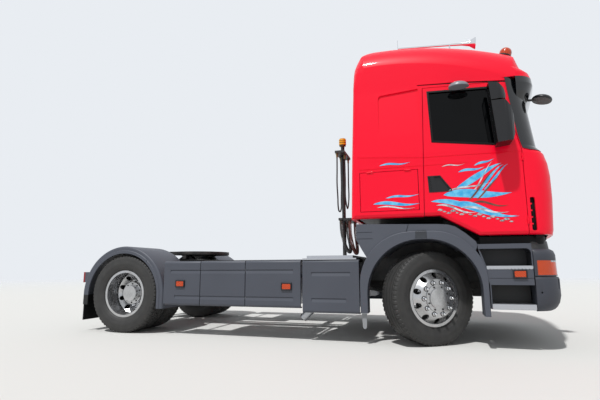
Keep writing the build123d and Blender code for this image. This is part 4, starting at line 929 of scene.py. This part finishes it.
def makeMirrorPanes():
    s = mirrorPanes
    for side, turn in zip(sides, bothSides):
        made = []
        for (xHigh, zHigh), (xLow, zLow) in s["panes"]:
            clearSelection()
            bpy.ops.mesh.primitive_plane_add(size=1, location=(0, 0, 0))
            pane = bpy.context.object
            bpy.ops.object.mode_set(mode="EDIT")
            bpy.ops.mesh.select_all(action="SELECT")
            height = math.hypot(xHigh - xLow, zHigh - zLow)
            bpy.ops.transform.resize(value=(height, s["from"] - s["to"], 1))
            bpy.ops.mesh.bevel(offset=s["round"], segments=4, affect="VERTICES")
            bpy.ops.mesh.select_all(action="SELECT")
            bpy.ops.mesh.extrude_region_move(TRANSFORM_OT_translate={"value": (0, 0, s["thickness"])})
            closeFaces()
            lean = math.degrees(math.atan2(zHigh - zLow, xHigh - xLow))
            middle = movedTo((xHigh + xLow) / 2 + s["ahead"], -(s["from"] + s["to"]) / 2, (zHigh + zLow) / 2)
            made.append(copiesOf(pane, [middle @ rotated(-lean, "Y")]))
        panes = joined("mirror_panes_" + side, made)
        finishPiece(copiesOf(panes, [turn]), "door_" + side, "silvered_glass")


# black strips on the chassis and the cab's own lip, bent round the front corner, with edges on the tilting circle:
# partly real closing parts, partly painted shade that darkens the gap under the cab
closingStrips = {"tiltX": 1.200, "tiltZ": 0.750, "wall": 0.004,
                 "strip": [(0.630, 1.172), (1.100, 1.172), (1.185, 1.150), (1.225, 1.115), (1.250, 1.070),
                           (1.280, 0.970), (1.310, 0.815), (1.332, 0.700)],
                 "stripBase": 1.036, "stripTop": 1.116, "stripBend": 1.150, "stripRadius": 0.366,
                 "lip": [(1.150, 1.195), (1.205, 1.165), (1.240, 1.130), (1.265, 1.085), (1.295, 0.980),
                         (1.325, 0.820), (1.350, 0.700), (1.385, 0.350), (1.392, 0.0)],
                 "lipTop": 1.185, "lipRadius": 0.380, "lipEnd": 1.210, "lipEndRadius": 0.345}


def bentBand(name, plan, lowAt, highAt):
    # two edges drawn along the plan, bridged and given a wall
    band = bridged(name, [startLine(name, [fromAxle(x, -y, heightAt(x)) for x, y in plan])
                          for heightAt in (highAt, lowAt)])
    closeFaces()
    wall = band.modifiers.new("wall", "SOLIDIFY")
    wall.thickness = closingStrips["wall"]
    activate([band])
    bpy.ops.object.modifier_apply(modifier="wall")
    return band


def makeClosingStrips():
    s = closingStrips

    def ring(x, radius):
        return s["tiltZ"] + math.sqrt(radius ** 2 - (x - s["tiltX"]) ** 2)

    def stripTop(x):
        return s["stripTop"] if x < s["stripBend"] else min(s["stripTop"], ring(x, s["stripRadius"]))

    def lipLow(x):
        return ring(x, s["lipEndRadius"] if x < s["lipEnd"] else s["lipRadius"])

    strip = bentBand("closing_strips", s["strip"], lambda x: s["stripBase"], stripTop)
    finishPiece(copiesOf(strip, bothSides), "chassis", "seal_rubber")
    around = s["lip"] + [(x, -y) for x, y in s["lip"][-2::-1]]
    lip = bentBand("cab_lip", around, lipLow, lambda x: s["lipTop"])
    finishPiece(lip, "cab", "seal_rubber")


# black strip deep in the rain gutter and black panel behind the corner's air slot, painted shade in the gap and
# the slot: X and Z, side, depth
cabTrim = {"gutter_strips": ([(0.092, 2.841), (0.573, 2.815), (1.000, 2.769), (1.014, 2.752), (1.000, 2.754),
                              (0.573, 2.801), (0.092, 2.834)], 1.196, 0.006),
           "corner_slot_backs": ([(1.112, 1.166), (1.112, 1.500), (1.160, 1.500), (1.160, 1.166)],
                                 1.2095, 0.004)}
# dark screen across the cab behind the grille: outline of Y and Z
grilleScreen = {"outline": [(-0.780, 1.140), (-0.780, 1.500), (0.780, 1.500), (0.780, 1.140)], "ahead": 1.335,
                "depth": 0.006}
trimEdge = 0.001


def makeCabTrim():
    for name, (outline, y, depth) in cabTrim.items():
        piece = drawnPlate(name, outlineFromAxle(outline), depth, -y)
        roundEdges(piece, trimEdge)
        # their black is painted shade
        finishPiece(copiesOf(piece, bothSides), "cab", "seal_rubber")
    # drawn lengthwise and turned
    s = grilleScreen
    screen = drawnPlate("grille_screen", s["outline"], s["depth"], -frontAxleX - s["ahead"])
    roundEdges(screen, trimEdge)
    finishPiece(copiesOf(screen, [rotated(90, "Z")]), "cab", "seal_rubber")


# beacons' base rings, leaning with the lamps
beaconBase = {"place": (1.068, 0.850, 3.205), "lean": 20,
              "section": [(0.062, 0.0), (0.064, -0.004), (0.074, -0.003), (0.0745, 0.010), (0.070, 0.014),
                          (0.066, 0.014)]}


def makeBeaconBases():
    s = beaconBase
    ring = turned("beacon_bases", s["section"], steps=40)
    x, y, z = s["place"]
    spots = [movedTo(x, side * y, z) @ rotated(s["lean"], "Y") @ rotated(90, "X") for side in (-1, 1)]
    finishPiece(copiesOf(ring, spots), "cab", "mirror_plastic")


# side lamps

# rounded black frames round the marker lamps: X and Z of the places, half the width and height
markerFrames = {"places": [(-2.846, 0.624), (-1.452, 0.602), (0.968, 0.742)], "half": (0.0555, 0.0345),
                "side": 1.2452, "outside": 0.008, "inside": 0.003, "thickness": 0.0175, "edge": 0.003}


def makeMarkerFrames():
    s = markerFrames
    across, up = s["half"]
    outline = [(-across, -up), (-across, up), (across, up), (across, -up)]
    frameRing = ringPlate("marker_frames", outline, s)
    roundEdges(frameRing, s["edge"], segments=3)
    spots = [turn @ movedTo(x, 0, z) for turn in bothSides for x, z in s["places"]]
    finishPiece(copiesOf(frameRing, spots), "chassis", "mirror_plastic")


# dark clip on the front fender's band
fenderClip = {"outline": [(-0.006, 1.108), (-0.002, 1.196), (0.108, 1.196), (0.112, 1.108)], "side": 1.2450,
              "thickness": 0.014, "rim": 0.012, "depth": 0.0025, "edge": 0.003}


def makeFenderClips():
    s = fenderClip
    clip = drawnPlate("fender_clips", outlineFromAxle(s["outline"]), s["thickness"], -s["side"])
    pressFaces(clip, lambda c, n: n.y < -0.9, s["rim"], s["depth"])
    roundEdges(clip, s["edge"])
    finishPiece(copiesOf(clip, bothSides), "chassis", "clip_grey")


# hose post

# ribbed knob on the post and the screwed ends of the four lines: half sections in radius and height
postDetails = {"place": (-0.905, -0.560),
               "knob": [(0.0, 2.506), (0.030, 2.506), (0.040, 2.500), (0.046, 2.490), (0.046, 2.478),
                        (0.041, 2.474), (0.041, 2.470), (0.047, 2.466), (0.047, 2.450), (0.041, 2.446),
                        (0.041, 2.442), (0.047, 2.438), (0.047, 2.420), (0.040, 2.412), (0.034, 2.398),
                        (0.0, 2.398)],
               "fitting": [(0.0, 0.0), (0.016, 0.0), (0.0165, -0.018), (0.0125, -0.021), (0.0125, -0.050),
                           (0.0105, -0.056), (0.0, -0.056)],
               "upperEnds": [(-0.945, -0.740), (-0.945, -0.500), (-0.865, -0.640), (-0.865, -0.400)],
               "lowerEnds": [(-0.905, -0.750), (-0.905, -0.352), (-0.800, -0.730), (-0.800, -0.355)],
               "upperZ": 2.262, "lowerZ": 1.392}


def makePostDetails():
    s = postDetails
    upright = rotated(90, "X")
    knob = turned("post_knob", s["knob"], steps=32)
    finishPiece(copiesOf(knob, [movedTo(*s["place"], 0) @ upright]), "chassis", "knob_yellow")
    fitting = turned("hose_fittings", s["fitting"], steps=12)
    spots = [movedTo(x, y, s[level + "Z"]) @ upright
             for level in ("upper", "lower") for x, y in s[level + "Ends"]]
    finishPiece(copiesOf(fitting, spots), "chassis", "brass")


# chassis

# bolt heads along the outside of the rails, in two rows
railBolts = {"from": -4.20, "to": -0.80, "count": 35, "heights": (0.705, 0.865), "side": 0.385,
             "section": [(0, 0.011), (0.010, 0.011), (0.0115, 0.009), (0.0115, 0.003), (0.0155, 0.003),
                         (0.0155, -0.001)]}


def makeRailBolts():
    s = railBolts
    bolt = turned("rail_bolts", [(r, -high) for r, high in s["section"]], steps=6)
    step = (s["to"] - s["from"]) / (s["count"] - 1)
    spots = [turn @ movedTo(s["from"] + step * i, -s["side"], z)
             for turn in bothSides for i in range(s["count"]) for z in s["heights"]]
    finishPiece(copiesOf(bolt, spots), "chassis", "cast_steel")


# rounded edges for the pressed and moulded nodes: width in metres
edgeRounding = {"bumper": 0.004, "side_skirts": 0.003, "front_fenders": 0.003, "step_housings": 0.003,
                "rear_mudguards": 0.003, "cab_front": 0.003, "door_mirrors_right": 0.004,
                "door_mirrors_left": 0.004, "tanks_and_boxes": 0.004, "step_treads": 0.0015,
                "fifth_wheel": 0.004}


def roundCadEdges():
    for name, width in edgeRounding.items():
        node = frame["nodes"][name]
        weld = node.modifiers.new("weld", "WELD")
        weld.merge_threshold = mergeWithin
        addBevel(node, width, angle=50)


addCamera()
addStudio()
addFloor()
dressCadNodes()
print("frame dressed")
makeHoses()
print("hoses laid")
makeSeats()
print("seats made")
makeStreaks()
makeWindowSeals()
makeMirrorPanes()
makeClosingStrips()
makeCabTrim()
makeBeaconBases()
print("cab trimmed")
makeMarkerFrames()
makeFenderClips()
makePostDetails()
makeRailBolts()
roundCadEdges()
print("chassis fitted")
makeTyres()
makeWheelNuts()
print("wheels made")
